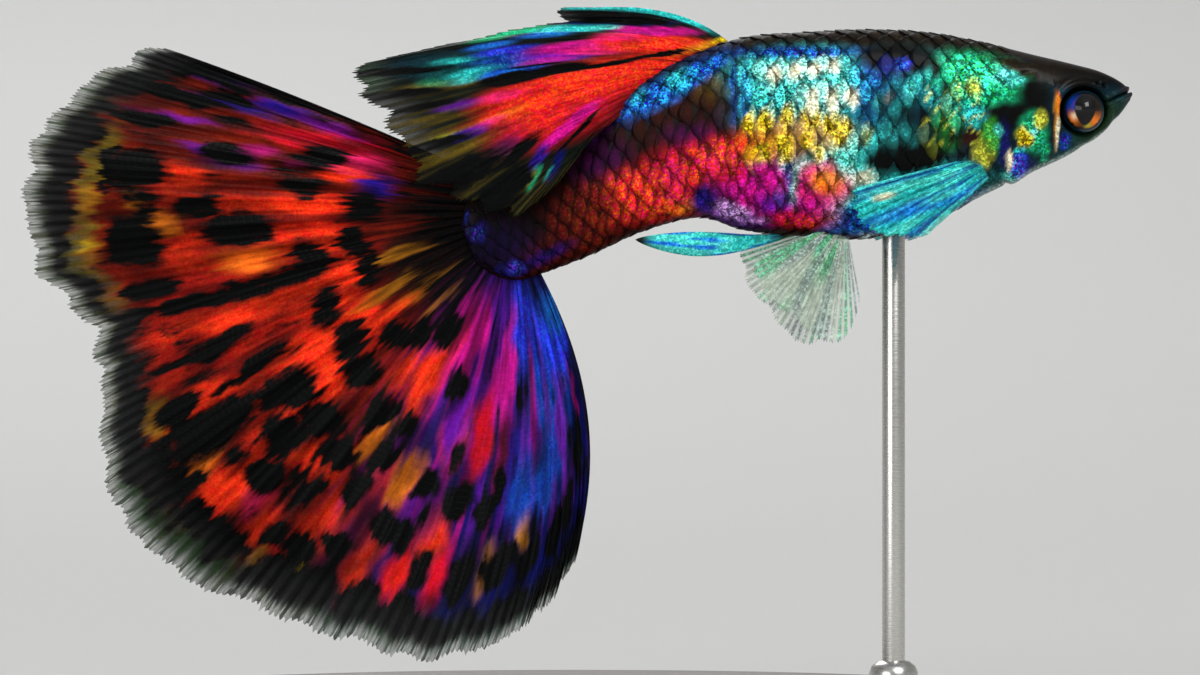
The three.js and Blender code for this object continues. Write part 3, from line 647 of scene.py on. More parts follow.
class Shader:
    """A node tree with short calls for the nodes that the finishes use."""

    def __init__(self, tree: bpy.types.NodeTree) -> None:
        """Args:
            tree: The tree to add nodes to.
        """
        self.tree = tree

    def add(self, kind: str, **settings) -> bpy.types.Node:
        """Adds a node.

        Args:
            kind: The node's type.
            **settings: Its properties.

        Returns:
            The node.
        """
        node = self.tree.nodes.new(kind)
        for key, value in settings.items():
            setattr(node, key, value)
        return node

    def put(self, socket: bpy.types.NodeSocket, value) -> None:
        """Links a socket to another, or sets its value."""
        if isinstance(value, bpy.types.NodeSocket):
            self.tree.links.new(value, socket)
        elif value is not None:
            socket.default_value = value

    def math(self, operation: str, a, b=None, c=None, clamp: bool = False) -> bpy.types.NodeSocket:
        """Returns the output of a maths node."""
        node = self.add("ShaderNodeMath", operation=operation, use_clamp=clamp)
        for socket, value in zip(node.inputs, (a, b, c)):
            self.put(socket, value)
        return node.outputs[0]

    def ramp(self, value, low: float, high: float) -> bpy.types.NodeSocket:
        """Returns a value eased from 0 at low to 1 at high."""
        node = self.add("ShaderNodeMapRange", interpolation_type="SMOOTHSTEP")
        self.put(node.inputs["Value"], value)
        node.inputs["From Min"].default_value = low
        node.inputs["From Max"].default_value = high
        return node.outputs["Result"]

    def blend(self, kind: str, share, a, b) -> bpy.types.NodeSocket:
        """Returns two colours blended."""
        node = self.add("ShaderNodeMix", data_type="RGBA", blend_type=kind)
        self.put(node.inputs[0], share)
        self.put(node.inputs[6], a)
        self.put(node.inputs[7], b)
        return node.outputs[2]

    def noise(self, vector, scale: float, detail: float = 2.0, rough: float = 0.5) -> bpy.types.NodeSocket:
        """Returns the value of a noise texture."""
        node = self.add("ShaderNodeTexNoise")
        self.put(node.inputs["Vector"], vector)
        node.inputs["Scale"].default_value = scale
        node.inputs["Detail"].default_value = detail
        node.inputs["Roughness"].default_value = rough
        return node.outputs["Fac"]

    def attribute(self, name: str, output: str = "Fac") -> bpy.types.NodeSocket:
        """Returns a mesh attribute."""
        return self.add("ShaderNodeAttribute", attribute_name=name).outputs[output]

    def grey(self, value) -> bpy.types.NodeSocket:
        """Returns a value as a grey colour."""
        node = self.add("ShaderNodeCombineColor")
        for socket in node.inputs:
            self.put(socket, value)
        return node.outputs[0]

    def object_place(self) -> bpy.types.NodeSocket:
        """Returns the place on the piece in Object coordinates."""
        return self.add("ShaderNodeTexCoord").outputs["Object"]

    def scaled(self, vector, scale: tuple[float, float, float]) -> bpy.types.NodeSocket:
        """Returns a vector stretched along its axes."""
        node = self.add("ShaderNodeMapping")
        self.put(node.inputs["Vector"], vector)
        node.inputs["Scale"].default_value = scale
        return node.outputs["Vector"]

    def bump(self, height, strength: float, distance: float, normal=None) -> bpy.types.NodeSocket:
        """Returns a normal bent by a height."""
        node = self.add("ShaderNodeBump")
        self.put(node.inputs["Height"], height)
        node.inputs["Strength"].default_value = strength
        node.inputs["Distance"].default_value = distance
        self.put(node.inputs["Normal"], normal)
        return node.outputs["Normal"]


def add_sockets(tree: bpy.types.NodeTree, way: str, **kinds: str) -> None:
    """Adds sockets to a node group.

    Args:
        tree: The group.
        way: INPUT or OUTPUT.
        kinds: Each socket's name and kind.
    """
    for name, kind in kinds.items():
        tree.interface.new_socket(name=name, in_out=way, socket_type=f"NodeSocket{kind}")


def glitter_group() -> bpy.types.NodeTree:
    """Builds the glitter that skin, scales and fins share: fine bright cells painted into a colour as painted
    glints and highlights.

    Returns:
        A group with a colour, a place, an amount and a size in, and a colour, a mask and a height out.
    """
    tree = bpy.data.node_groups.new("glitter", "ShaderNodeTree")
    add_sockets(tree, "INPUT", Colour="Color", Place="Vector", Amount="Float", Size="Float")
    add_sockets(tree, "OUTPUT", Colour="Color", Mask="Float", Height="Float")
    shader = Shader(tree)
    into = shader.add("NodeGroupInput")
    out = shader.add("NodeGroupOutput")
    cells = shader.add("ShaderNodeTexVoronoi", feature="F1")
    shader.put(cells.inputs["Vector"], into.outputs["Place"])
    shader.put(cells.inputs["Scale"], into.outputs["Size"])
    drift = shader.add("ShaderNodeTexNoise")
    shader.put(drift.inputs["Vector"], into.outputs["Place"])
    shader.put(drift.inputs["Scale"], shader.math("MULTIPLY", into.outputs["Size"], 0.3))
    drift.inputs["Detail"].default_value = 3.0
    pick = shader.add("ShaderNodeSeparateColor")
    shader.put(pick.inputs[0], cells.outputs["Color"])
    lucky = shader.math("POWER", pick.outputs[0], 2.0)
    patch = shader.ramp(drift.outputs["Fac"], 0.3, 0.62)
    painted_glint = shader.math("MULTIPLY", shader.math("MULTIPLY", lucky, patch), 2.0, clamp=True)
    # Painted glints: cells that miss are painted darker and the lucky ones lighter, and the brightest are
    # mixed towards a paler tint as painted highlights.
    lit = shader.math("MULTIPLY_ADD", painted_glint, 1.9, 0.16)
    keep = shader.math("MULTIPLY_ADD", shader.math("SUBTRACT", lit, 1.0), into.outputs["Amount"], 1.0)
    turned = shader.add("ShaderNodeHueSaturation")
    swing = shader.math("MULTIPLY", shader.math("SUBTRACT", pick.outputs[2], 0.5), into.outputs["Amount"])
    shader.put(turned.inputs["Hue"], shader.math("MULTIPLY_ADD", swing, 0.11, 0.5))
    shader.put(turned.inputs["Color"], into.outputs["Colour"])
    colour = turned.outputs[0]
    toned = shader.blend("MULTIPLY", 1.0, colour, shader.grey(keep))
    doubled = shader.blend("SCREEN", 1.0, colour, colour)
    light = shader.blend("SCREEN", 0.55, doubled, colour)
    peak = shader.math("MULTIPLY", shader.ramp(painted_glint, 0.72, 1.0), into.outputs["Amount"])
    shader.put(out.inputs["Colour"], shader.blend("MIX", peak, toned, light))
    shader.put(out.inputs["Mask"], peak)
    shader.put(out.inputs["Height"], pick.outputs[1])
    return tree


def streak_group() -> bpy.types.NodeTree:
    """Builds the fine streaks that run along fin rays.

    Returns:
        A group with a fin place, a ray count and hairs to each ray in, and streak, ray, joint and fray out.
    """
    tree = bpy.data.node_groups.new("ray_streaks", "ShaderNodeTree")
    add_sockets(tree, "INPUT", Place="Vector", Rays="Float", Hairs="Float")
    add_sockets(tree, "OUTPUT", Streak="Float", Ray="Float", Joint="Float", Fray="Float")
    shader = Shader(tree)
    into = shader.add("NodeGroupInput")
    out = shader.add("NodeGroupOutput")
    split = shader.add("ShaderNodeSeparateXYZ")
    shader.put(split.inputs[0], into.outputs["Place"])
    across = shader.math("MULTIPLY", split.outputs["X"], into.outputs["Rays"])
    join = shader.add("ShaderNodeCombineXYZ")
    shader.put(join.inputs["X"], across)
    shader.put(join.inputs["Y"], shader.math("MULTIPLY", split.outputs["Y"], 3.2))
    streak = shader.noise(join.outputs[0], 3.4, 5.0, 0.62)
    fold = shader.math("PINGPONG", shader.math("MULTIPLY", across, 4.0), 0.5)
    shader.put(out.inputs["Streak"], streak)
    shader.put(out.inputs["Ray"], shader.ramp(fold, 0.12, 0.42))
    hair = shader.add("ShaderNodeCombineXYZ")
    shader.put(hair.inputs["X"], shader.math("MULTIPLY", across, into.outputs["Hairs"]))
    shader.put(hair.inputs["Y"], shader.math("MULTIPLY", split.outputs["Y"], 4.0))
    shader.put(out.inputs["Fray"], shader.ramp(shader.noise(hair.outputs[0], 2.0, 1.0), 0.42, 0.58))
    tick = shader.math("PINGPONG", shader.math("MULTIPLY", split.outputs["Y"], 62.0), 0.5)
    shader.put(out.inputs["Joint"], shader.ramp(tick, 0.0, 0.16))
    return tree


GLITTER = glitter_group()
STREAKS = streak_group()


def new_material(name: str) -> tuple[Shader, bpy.types.Node]:
    """Makes a material with a Principled shader.

    Args:
        name: The material's name.

    Returns:
        Its node tree's helper, and the Principled node.
    """
    material = bpy.data.materials.new(name)
    material.use_nodes = True
    principled = next(n for n in material.node_tree.nodes if n.type == "BSDF_PRINCIPLED")
    return Shader(material.node_tree), principled


def material_of(shader: Shader) -> bpy.types.Material:
    """Returns the material that a shader helper belongs to."""
    return next(m for m in bpy.data.materials if m.node_tree == shader.tree)


@dataclass(frozen=True)
class SkinFinish:
    """Wet skin and scales with glittering cells. Colour and glitter come from the mesh."""

    name: str
    roughness: float = 0.34
    metal: float = 0.25
    coat: float = 0.06
    cell_size: float = 11500
    grain: float = 0.5

    def build(self) -> bpy.types.Material:
        """Returns the material."""
        shader, skin = new_material(self.name)
        place = shader.object_place()
        hue = shader.attribute("hue", "Color")
        shine = shader.attribute("shine")
        glitter = shader.add("ShaderNodeGroup", node_tree=GLITTER)
        shader.put(glitter.inputs["Colour"], hue)
        shader.put(glitter.inputs["Place"], place)
        shader.put(glitter.inputs["Amount"], shine)
        glitter.inputs["Size"].default_value = self.cell_size
        shader.put(skin.inputs["Base Color"], glitter.outputs["Colour"])
        shader.put(skin.inputs["Metallic"], shader.math("MULTIPLY", shine, self.metal))
        rough = shader.math("MULTIPLY_ADD", glitter.outputs["Mask"], -0.12, self.roughness)
        shader.put(skin.inputs["Roughness"], rough)
        skin.inputs["Coat Weight"].default_value = self.coat
        skin.inputs["Coat Roughness"].default_value = 0.15
        skin.inputs["Specular IOR Level"].default_value = 0.06
        fine = shader.noise(place, 9000, 3.0, 0.6)
        height = shader.math("MULTIPLY_ADD", glitter.outputs["Height"], shine, fine)
        shader.put(skin.inputs["Normal"], shader.bump(height, self.grain, 0.00004))
        return material_of(shader)


@dataclass(frozen=True)
class FinFinish:
    """A thin rayed membrane. Hue, dark pigment, clearness and glitter come from the mesh."""

    name: str
    rays: float
    roughness: float = 0.42
    clear_rays: float = 0.5
    streak: float = 0.4
    gloss: float = 0.06
    sparkle: float = 0.42
    hairs: float = 9
    fray: float = 1.0

    def build(self) -> bpy.types.Material:
        """Returns the material."""
        shader, fin = new_material(self.name)
        flow = shader.add("ShaderNodeGroup", node_tree=STREAKS)
        shader.put(flow.inputs["Place"], shader.add("ShaderNodeUVMap", uv_map="FinUV").outputs[0])
        flow.inputs["Rays"].default_value = self.rays
        flow.inputs["Hairs"].default_value = self.hairs
        place = shader.object_place()
        hue = shader.attribute("hue", "Color")
        shine = shader.math("MULTIPLY", shader.attribute("shine"), self.sparkle)
        glitter = shader.add("ShaderNodeGroup", node_tree=GLITTER)
        shader.put(glitter.inputs["Colour"], hue)
        shader.put(glitter.inputs["Place"], place)
        shader.put(glitter.inputs["Amount"], shine)
        glitter.inputs["Size"].default_value = 11000
        streak = flow.outputs["Streak"]
        tone = shader.math("MULTIPLY_ADD", shader.ramp(streak, 0.3, 0.7), self.streak * 2, 1 - self.streak)
        lit = shader.blend("MULTIPLY", 1.0, glitter.outputs["Colour"], shader.grey(tone))
        centred = shader.math("SUBTRACT", streak, 0.5)
        wander = shader.math("MULTIPLY_ADD", centred, 1.5, shader.attribute("ink"))
        ink = shader.ramp(wander, 0.25, 0.78)
        shader.put(fin.inputs["Base Color"], shader.blend("MIX", ink, lit, (*Tint.INK.linear, 1)))
        clear = shader.attribute("clear")
        ray = shader.math("MULTIPLY", flow.outputs["Ray"], self.clear_rays)
        thin = shader.math("MULTIPLY", clear, shader.math("SUBTRACT", 1.0, ray))
        dense = shader.math("MULTIPLY_ADD", ink, -0.35, 1.0)
        see = shader.math("MULTIPLY", thin, dense)
        torn = shader.math("MULTIPLY", flow.outputs["Fray"], self.fray)
        fray = shader.math("MULTIPLY", torn, shader.ramp(clear, 0.25, 0.7))
        gone = shader.math("MAXIMUM", see, fray)
        shader.put(fin.inputs["Alpha"], shader.math("SUBTRACT", 1.0, gone, clamp=True))
        shader.put(fin.inputs["Metallic"], shader.math("MULTIPLY", shine, 0.2))
        fin.inputs["Roughness"].default_value = self.roughness
        fin.inputs["Specular IOR Level"].default_value = self.gloss
        joints = shader.math("MULTIPLY_ADD", flow.outputs["Joint"], 0.3, shader.math("MULTIPLY", streak, 1.2))
        shader.put(fin.inputs["Normal"], shader.bump(joints, 0.5, 0.00005))
        return material_of(shader)


# The skin


@dataclass
class Skin:
    """One skin from snout to tail root, with eye sockets, mouth, nostrils and gill covers raised in it."""

    rings: int = 250
    sides: int = 176
    head_share: float = 0.46
    head_end: float = 5.6
    socket_radius: float = 1.03
    socket_depth: float = 0.95
    mouth_corner: tuple[float, float] = (-1.5, -0.55)
    mouth_tip: float = 0.17
    gill_centre: tuple[float, float] = (-4.75, -1.85)
    gill_radii: tuple[float, float] = (2.42, 2.62)
    nostrils: tuple[tuple[float, float, float], ...] = ((-1.42, 0.34, 0.11), (-1.74, 0.44, 0.09))

    def place(self, share: float) -> float:
        """Returns the place along the body for a share of the rings, which stand closest on the head."""
        if share < self.head_share:
            return self.head_end * (share / self.head_share) ** 1.15
        return mix(self.head_end, BODY.last, (share - self.head_share) / (1 - self.head_share))

    def relief(self, point: Vector) -> float:
        """Returns how far the skin stands out at a point of the head, in millimetres."""
        x, z = point.x, point.z
        if x < -8.5:
            return 0.0
        rise = 0.0
        eye = math.hypot(x - EYE_FORM.x, z - EYE_FORM.z)
        rise -= self.socket_depth * (1 - smooth(self.socket_radius, self.socket_radius + 0.2, eye))
        rise += 0.05 * math.exp(-(((eye - 1.36) / 0.13) ** 2))
        rise -= 0.03 * math.exp(-(((eye - 1.62) / 0.14) ** 2))
        rise += self.mouth(x, z)
        for nx, nz, size in self.nostrils:
            off = math.hypot(x - nx, z - nz)
            lip = 0.05 * math.exp(-(((off - size * 1.6) / (size * 0.7)) ** 2))
            rise += lip - 0.16 * math.exp(-((off / size) ** 2))
        rise += self.gill(x, z)
        bar = math.exp(-(((x + 3.8 + 0.06 * (z + 1.2) ** 2) / 0.12) ** 2))
        bar = bar * smooth(-3.0, -2.6, z) * (1 - smooth(0.2, 0.6, z))
        return rise + 0.07 * bar

    def mouth(self, x: float, z: float) -> float:
        """Returns the relief of the mouth's line and lips."""
        share = max(0.0, min(1.0, x / self.mouth_corner[0]))
        line = mix(self.mouth_tip, self.mouth_corner[1], share)
        off = z - line
        fade = 1 - smooth(-self.mouth_corner[0], -self.mouth_corner[0] + 0.22, -x)
        lips = 0.09 * math.exp(-(((abs(off) - 0.19) / 0.1) ** 2))
        groove = 0.17 * math.exp(-((off / 0.055) ** 2))
        return (lips - groove) * fade

    def gill(self, x: float, z: float) -> float:
        """Returns the relief of the gill cover: a low dome that ends in a free edge over a groove."""
        cx, cz = self.gill_centre
        away = math.hypot((x - cx) / self.gill_radii[0], (z - cz) / self.gill_radii[1])
        edge = (away - 1) * self.gill_radii[0]
        rear = smooth(0.2, -0.9, x - cx)
        dome = 0.13 * smooth(-1.5, -0.1, edge) if edge < 0 else 0.13 * (1 - smooth(0.0, 0.09, edge))
        groove = 0.1 * math.exp(-(((edge - 0.16) / 0.1) ** 2))
        return (dome - groove) * rear

    def build(self) -> bpy.types.Object:
        """Returns the skin, which stands for every node of flesh."""
        mesh = bmesh.new()
        hue = mesh.verts.layers.float_color.new("hue")
        shine = mesh.verts.layers.float.new("shine")
        for vert, (u, v) in grid(mesh, self.rings, self.sides).items():
            place, turn = self.place(u), v * TAU
            end = u < 1e-4 or u > 1 - 1e-4
            base = BODY.point(place, turn, 0.0, 0.0 if end else 1.0)
            rise = 0.0 if end else self.relief(base)
            point = base + BODY.normal(place, turn) * rise if rise else base
            vert.co = world(point)
            coat = PAINT.at(base, turn)
            # Painted shade: behind 8 mm from the snout the skin lies under the scales and is darkened to a
            # quarter.
            if base.x < -8.0:
                coat = coat.shade(0.25)
            # Painted shade in the recesses: where the skin sinks, as in the eye sockets, the mouth's line,
            # the nostrils and the gill groove, ink is laid and the glitter is taken away.
            groove = smooth(-0.02, -0.12, rise)
            coat.lay(Tint.INK, groove * 0.8)
            vert[hue] = coat.colour
            vert[shine] = coat.glitter * (1 - groove)
        bmesh.ops.remove_doubles(mesh, verts=mesh.verts[:], dist=2e-6)
        bmesh.ops.recalc_face_normals(mesh, faces=mesh.faces[:])
        made = finish_object(mesh, "guppy_skin", SkinFinish("wet_skin", roughness=0.42, coat=0.06).build())
        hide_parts("head", "lower_jaw", "gill_cover_right", "gill_cover_left", "torso", "tail_stem")
        return made


# Scales


@dataclass
class Scales:
    """Overlapping scales in staggered columns from the nape and gill cover to the tail root."""

    spacing: float = 0.46
    height: float = 1.27
    length: float = 1.45
    across: int = 6
    down: int = 7
    first: float = 4.3
    lift_root: float = -0.09
    lift_edge: float = 0.042
    crown: float = 0.025
    seed: int = 7

    def columns(self) -> list[tuple[float, float, float]]:
        """Returns each column's place, its girth, and how many millimetres one place runs there."""
        found = []
        place = self.first
        while place < BODY.last - 0.25:
            round_it = [BODY.point(place, i * TAU / 48) for i in range(49)]
            girth = sum((b - a).length for a, b in zip(round_it, round_it[1:]))
            ahead = min(place + 0.1, BODY.last)
            run = (BODY.point(ahead, TAU / 4) - BODY.point(place, TAU / 4)).length / (ahead - place)
            found.append((place, girth, run))
            place += self.spacing * mix(0.7, 1.06, smooth(9.0, 18.0, girth)) / max(run, 0.8)
        return found

    def covers(self, point: Vector, turn: float) -> bool:
        """Tells whether a scale grows at a point: behind the gill cover's edge and the nape."""
        gill = math.hypot((point.x + 4.75) / 2.55, (point.z + 1.85) / 2.75)
        nape = point.x < -5.2 - 0.6 * abs(math.sin(turn))
        return gill > 1.08 and nape and not (point.z < -3.4 and point.x > -7.3)

    def plate(
        self, mesh: bmesh.types.BMesh, place: float, turn: float, size: float, run: float, rng: random.Random
    ) -> None:
        """Adds one scale to the mesh.

        Args:
            mesh: The mesh, with its hue, shine and map layers.
            place: The scale's place along the body.
            turn: Its angle round the body.
            size: Its height in radians of turn.
            run: Millimetres to one place along the body there.
            rng: The scales' own random numbers.
        """
        hue = mesh.verts.layers.float_color["hue"]
        shine = mesh.verts.layers.float["shine"]
        chart = mesh.loops.layers.uv["OFBake"]
        centre = BODY.point(place, turn)
        own = PAINT.at(centre, turn, 0.05)
        bright = 1 + rng.uniform(-0.18, 0.18)
        tip_lift = self.lift_edge + rng.uniform(-0.02, 0.02)
        corners = grid(mesh, self.down, self.across)
        for vert, (p, q) in corners.items():
            side = q * 2 - 1
            width = 0.62 * math.sqrt(max(0.0, 1 - abs(p - 0.42) ** 2 / 0.5))
            rounded = 0.2 * side * side * smooth(0.2, 1.0, p)
            reach = self.length * (p - 0.38 - rounded + 0.12 * side * side * (1 - p))
            here = min(max(place + reach / run, 0.0), BODY.last)
            around = turn + side * width * size
            surface = BODY.point(here, around)
            height = mix(self.lift_root, tip_lift, p) + self.crown * (1 - side * side) * smooth(0.0, 0.6, p)
            vert.co = world(surface + BODY.normal(here, around) * height)
            coat = PAINT.at(surface, around, 0.1)
            coat = Coat(*(mix(a, b, 0.15) for a, b in zip(astuple(coat), astuple(own))))
            # Painted light on each scale: a painted highlight down the middle of its free part, and painted
            # shade towards its edges and root. The shade is weaker where the hue is greener or redder.
            painted_scale_highlight = smooth(0.95, 0.2, abs(side)) * math.exp(-(((p - 0.68) / 0.2) ** 2))
            vert[hue] = coat.shade((0.34 + 0.4 * coat.green + 0.16 * coat.red + painted_scale_highlight) * bright).colour
            vert[shine] = coat.glitter
        root = (place / BODY.last, (turn / TAU) % 1.0)
        for face in {face for vert in corners for face in vert.link_faces}:
            for loop in face.loops:
                p, q = corners[loop.vert]
                loop[chart].uv = (root[0] + 0.003 * (p - 0.5), root[1] + 0.003 * (q - 0.5))

    def build(self) -> bpy.types.Object:
        """Returns all scales as one joined piece."""
        rng = random.Random(self.seed)
        mesh = bmesh.new()
        mesh.verts.layers.float_color.new("hue")
        mesh.verts.layers.float.new("shine")
        mesh.loops.layers.uv.new("OFBake")
        count = 0
        for index, (place, girth, run) in enumerate(self.columns()):
            lines = max(8, round(girth / (self.height * mix(0.8, 1.0, smooth(9.0, 18.0, girth)))))
            step = TAU / lines
            for line in range(lines):
                turn = (line + 0.5 * (index % 2)) * step + rng.uniform(-0.03, 0.03) * step
                if self.covers(BODY.point(place, turn), turn):
                    self.plate(mesh, place, turn, step, run, rng)
                    count += 1
        finish = SkinFinish("scale_plates", roughness=0.45, coat=0.03).build()
        made = finish_object(mesh, "guppy_scales", finish)
        wall = made.modifiers.new("thickness", "SOLIDIFY")
        wall.thickness = 0.035 * MM
        wall.offset = -1
        LOG.info("%d scales", count)
        return made


# Eyes


@dataclass(frozen=True)
class EyeForm:
    """Size and place of an eye, in millimetres."""

    x: float = -2.42
    z: float = -0.9
    y: float = 1.06
    radius: float = 1.03
    flat: float = 0.82
    pupil: tuple[float, float] = (0.54, 0.72)


EYE_FORM = EyeForm()


@dataclass
class Eye:
    """One eye: a ball with a dark rim, a gold iris and a tall pupil, under a clear gloss."""

    side: int
    word: str

    def ball(self, grow: float, segments: int, name: str, material: bpy.types.Material) -> bpy.types.Object:
        """Builds a flattened ball with its pole facing out of the head.

        Args:
            grow: Millimetres added to the radius.
            segments: Faces round it.
            name: The piece's name.
            material: Its material.

        Returns:
            The ball.
        """
        mesh = bmesh.new()
        hue = mesh.verts.layers.float_color.new("hue")
        shine = mesh.verts.layers.float.new("shine")
        radius = EYE_FORM.radius + grow
        bmesh.ops.create_uvsphere(mesh, u_segments=segments, v_segments=segments, radius=radius)
        bmesh.ops.rotate(mesh, verts=mesh.verts[:], matrix=Matrix.Rotation(math.pi / 2, 3, "X"))
        for vert in mesh.verts:
            x, y, z = vert.co
            outward = y * self.side
            coat = self.colour(x, z, outward)
            bulge = 0.09 * (1 - smooth(0.0, 0.75, math.hypot(x, z))) if outward > 0 else 0.0
            vert[hue] = coat.colour
            vert[shine] = coat.glitter
            out = y * EYE_FORM.flat + self.side * (EYE_FORM.y + bulge)
            vert.co = world(Vector((EYE_FORM.x + x, out, EYE_FORM.z + z)))
        return finish_object(mesh, name, material)

    def colour(self, x: float, z: float, outward: float) -> Coat:
        """Returns the eye's coat at a point counted from its centre."""
        coat = Coat.of(Tint.INK)
        if outward < 0:
            return coat
        r = math.hypot(x, z) / EYE_FORM.radius
        turn = math.degrees(math.atan2(z, x)) % 360
        fleck = noise.noise(Vector((x * 6, z * 6, 3.0))) * 0.05
        ring = smooth(0.44, 0.5, r + fleck) * (1 - smooth(0.74, 0.84, r + fleck))
        arcs = math.exp(-(((turn - 212) / 28) ** 2)) + math.exp(-(((turn - 312) / 30) ** 2))
        coat.lay(Tint.UMBER, ring)
        coat.lay(Tint.ORANGE, ring * min(1.0, arcs))
        coat.lay(Tint.CREAM, ring * 0.8 * math.exp(-(((turn - 205) / 16) ** 2)) * (1 - smooth(0.6, 0.75, r)))
        coat.lay(Tint.STRAW, ring * 0.7 * math.exp(-(((turn - 282) / 12) ** 2)))
        for tint, cover, outer, angle, wide in (
            (Tint.COBALT, 1.0, (0.85, 0.95), 150, 30), (Tint.VIOLET, 0.6, (0.6, 0.7), 140, 18)
        ):
            arc = math.exp(-(((turn - angle) / wide) ** 2))
            coat.lay(tint, cover * smooth(0.4, 0.5, r) * (1 - smooth(*outer, r)) * arc)
        coat.lay(Tint.PETROL, smooth(0.84, 0.93, r))
        pupil = math.hypot(x / EYE_FORM.pupil[0] / (0.9 + 0.3 * z), (z - 0.02) / EYE_FORM.pupil[1])
        coat.lay(Tint.INK, 1 - smooth(0.94, 1.04, pupil))
        return coat

    def build(self, ball_finish: bpy.types.Material) -> None:
        """Builds the ball.

        Args:
            ball_finish: Its material.
        """
        ball = self.ball(-0.03, 96, f"eye_ball_{self.word}", ball_finish)
        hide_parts(f"eye_{self.word}")


def eye_ball_finish() -> bpy.types.Material:
    """Returns the painted ball's material."""
    shader, ball = new_material("eye_ball")
    shader.put(ball.inputs["Base Color"], shader.attribute("hue", "Color"))
    shader.put(ball.inputs["Metallic"], shader.math("MULTIPLY", shader.attribute("shine"), 0.6))
    ball.inputs["Roughness"].default_value = 0.5
    ball.inputs["Specular IOR Level"].default_value = 0.1
    ball.inputs["Coat Weight"].default_value = 0.45
    ball.inputs["Coat Roughness"].default_value = 0.02
    return material_of(shader)


# Fins


@dataclass
class FinSpot:
    """What a place of a fin looks like."""

    coat: Coat
    ink: float = 0.0
    clear: float = 0.0


@dataclass
class RayedFin:
    """A thin fin of forking rays. Across runs from first ray to last, and along from root to margin."""

    name: str
    nodes: tuple[str, ...]
    slot: str
    rays: int
    per_ray: int
    rows: int
    membrane: float = 0.07
    ridge: float = 0.13
    forks: tuple[float, float] = (0.34, 0.62)
    fold: float = 0.1
    filaments: int = 10

    def surface(self, u: float, v: float) -> Vector:
        """Returns the fin's middle surface at a share across and along."""
        raise NotImplementedError

    def look(self, u: float, v: float, point: Vector) -> FinSpot:
        """Returns the fin's look at a place."""
        raise NotImplementedError

    def crest(self, u: float, v: float) -> float:
        """Returns how far a place is on a ray: 1 on its crest, 0 on the membrane between."""
        first, second = self.forks
        share = u * self.rays
        single = self.peak(share, 0.3)
        double = self.peak(share * 2, 0.45)
        fourfold = self.peak(share * 4, 0.6)
        forked = mix(single, double, smooth(first - 0.07, first + 0.07, v))
        return mix(forked, fourfold, smooth(second - 0.07, second + 0.07, v))

    @staticmethod
    def peak(share: float, width: float) -> float:
        """Returns a peak in the middle of each whole step, as wide as a share of the step."""
        off = abs((share % 1.0) - 0.5) * 2
        return max(0.0, 1 - off / width) ** 0.6

    def fringe(self, u: float, depth: float) -> float:
        """Returns how far the margin falls back between the filaments that end the rays.

        Args:
            u: Share across the fin.
            depth: How far it falls back at most, in millimetres.

        Returns:
            The distance in millimetres.
        """
        share = u * self.rays * self.filaments
        off = (abs((share % 1.0) - 0.5) * 2) ** 0.7
        ray = abs((u * self.rays % 1.0) - 0.5) * 2
        uneven = 0.5 + scatter(math.floor(share), 1.7)
        bunch = 0.5 + noise.noise(Vector((u * self.rays * 1.3, 4.0, 1.0)))
        hairy = mix(0.1, 0.55, 0.5 + noise.noise(Vector((u * self.rays * 0.7, 9.0, 2.0))))
        return depth * (hairy * off + 0.22 * uneven + 0.3 * ray + 0.5 * bunch)

    def build(self, finish: bpy.types.Material) -> bpy.types.Object:
        """Builds the fin as a closed shell of two faces.

        Args:
            finish: Its material.

        Returns:
            The fin, which stands for its CAD nodes.
        """
        mesh = bmesh.new()
        hue = mesh.verts.layers.float_color.new("hue")
        layers = {key: mesh.verts.layers.float.new(key) for key in ("shine", "ink", "clear", "u", "v")}
        chart = mesh.loops.layers.uv.new("FinUV")
        places = grid(mesh, self.rays * self.per_ray, self.rows)
        for vert, (u, v) in places.items():
            point = self.surface(u, v)
            spot = self.look(u, v, point)
            vert.co = point
            vert[hue] = spot.coat.colour
            for key, value in zip(layers, (spot.coat.glitter, spot.ink, spot.clear, u, v)):
                vert[layers[key]] = value
        mesh.normal_update()
        outward = {vert: vert.normal.copy() for vert in places}
        copies = bmesh.ops.duplicate(mesh, geom=mesh.verts[:] + mesh.edges[:] + mesh.faces[:])
        twins = {b: a for a, b in copies["vert_map"].items() if a in outward}
        for far, near in twins.items():
            u, v = places[near]
            taper = 1 - 0.72 * smooth(0.5, 1.0, v)
            half = (self.membrane + self.ridge * self.crest(u, v)) * taper / 2
            shift = outward[near] * half
            far.co = far.co - shift
            near.co = near.co + shift
        bmesh.ops.reverse_faces(mesh, faces=[f for f in copies["geom"] if isinstance(f, bmesh.types.BMFace)])
        rim = [edge for edge in mesh.edges if edge.is_boundary]
        bmesh.ops.bridge_loops(mesh, edges=rim)
        bmesh.ops.recalc_face_normals(mesh, faces=mesh.faces[:])
        for face in mesh.faces:
            for loop in face.loops:
                loop[chart].uv = (loop.vert[layers["u"]], loop.vert[layers["v"]])
        for vert in mesh.verts:
            vert.co = world(vert.co)
        made = finish_object(mesh, self.name, finish)
        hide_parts(*self.nodes)
        return made


TAIL_MARGIN = (
    (153, 19.4), (159, 21.5), (165, 22.9), (171, 23.8), (178, 23.9), (186, 23.3), (194, 21.4), (202, 21.7),
    (210, 23.2), (219, 24.0), (228, 23.5), (238, 22.4), (249, 21.9), (259, 21.6), (268, 20.4), (275, 18.6),
    (281, 16.4),
)

# Markings of the tail fin: share across, share along, then half length and half width in millimetres

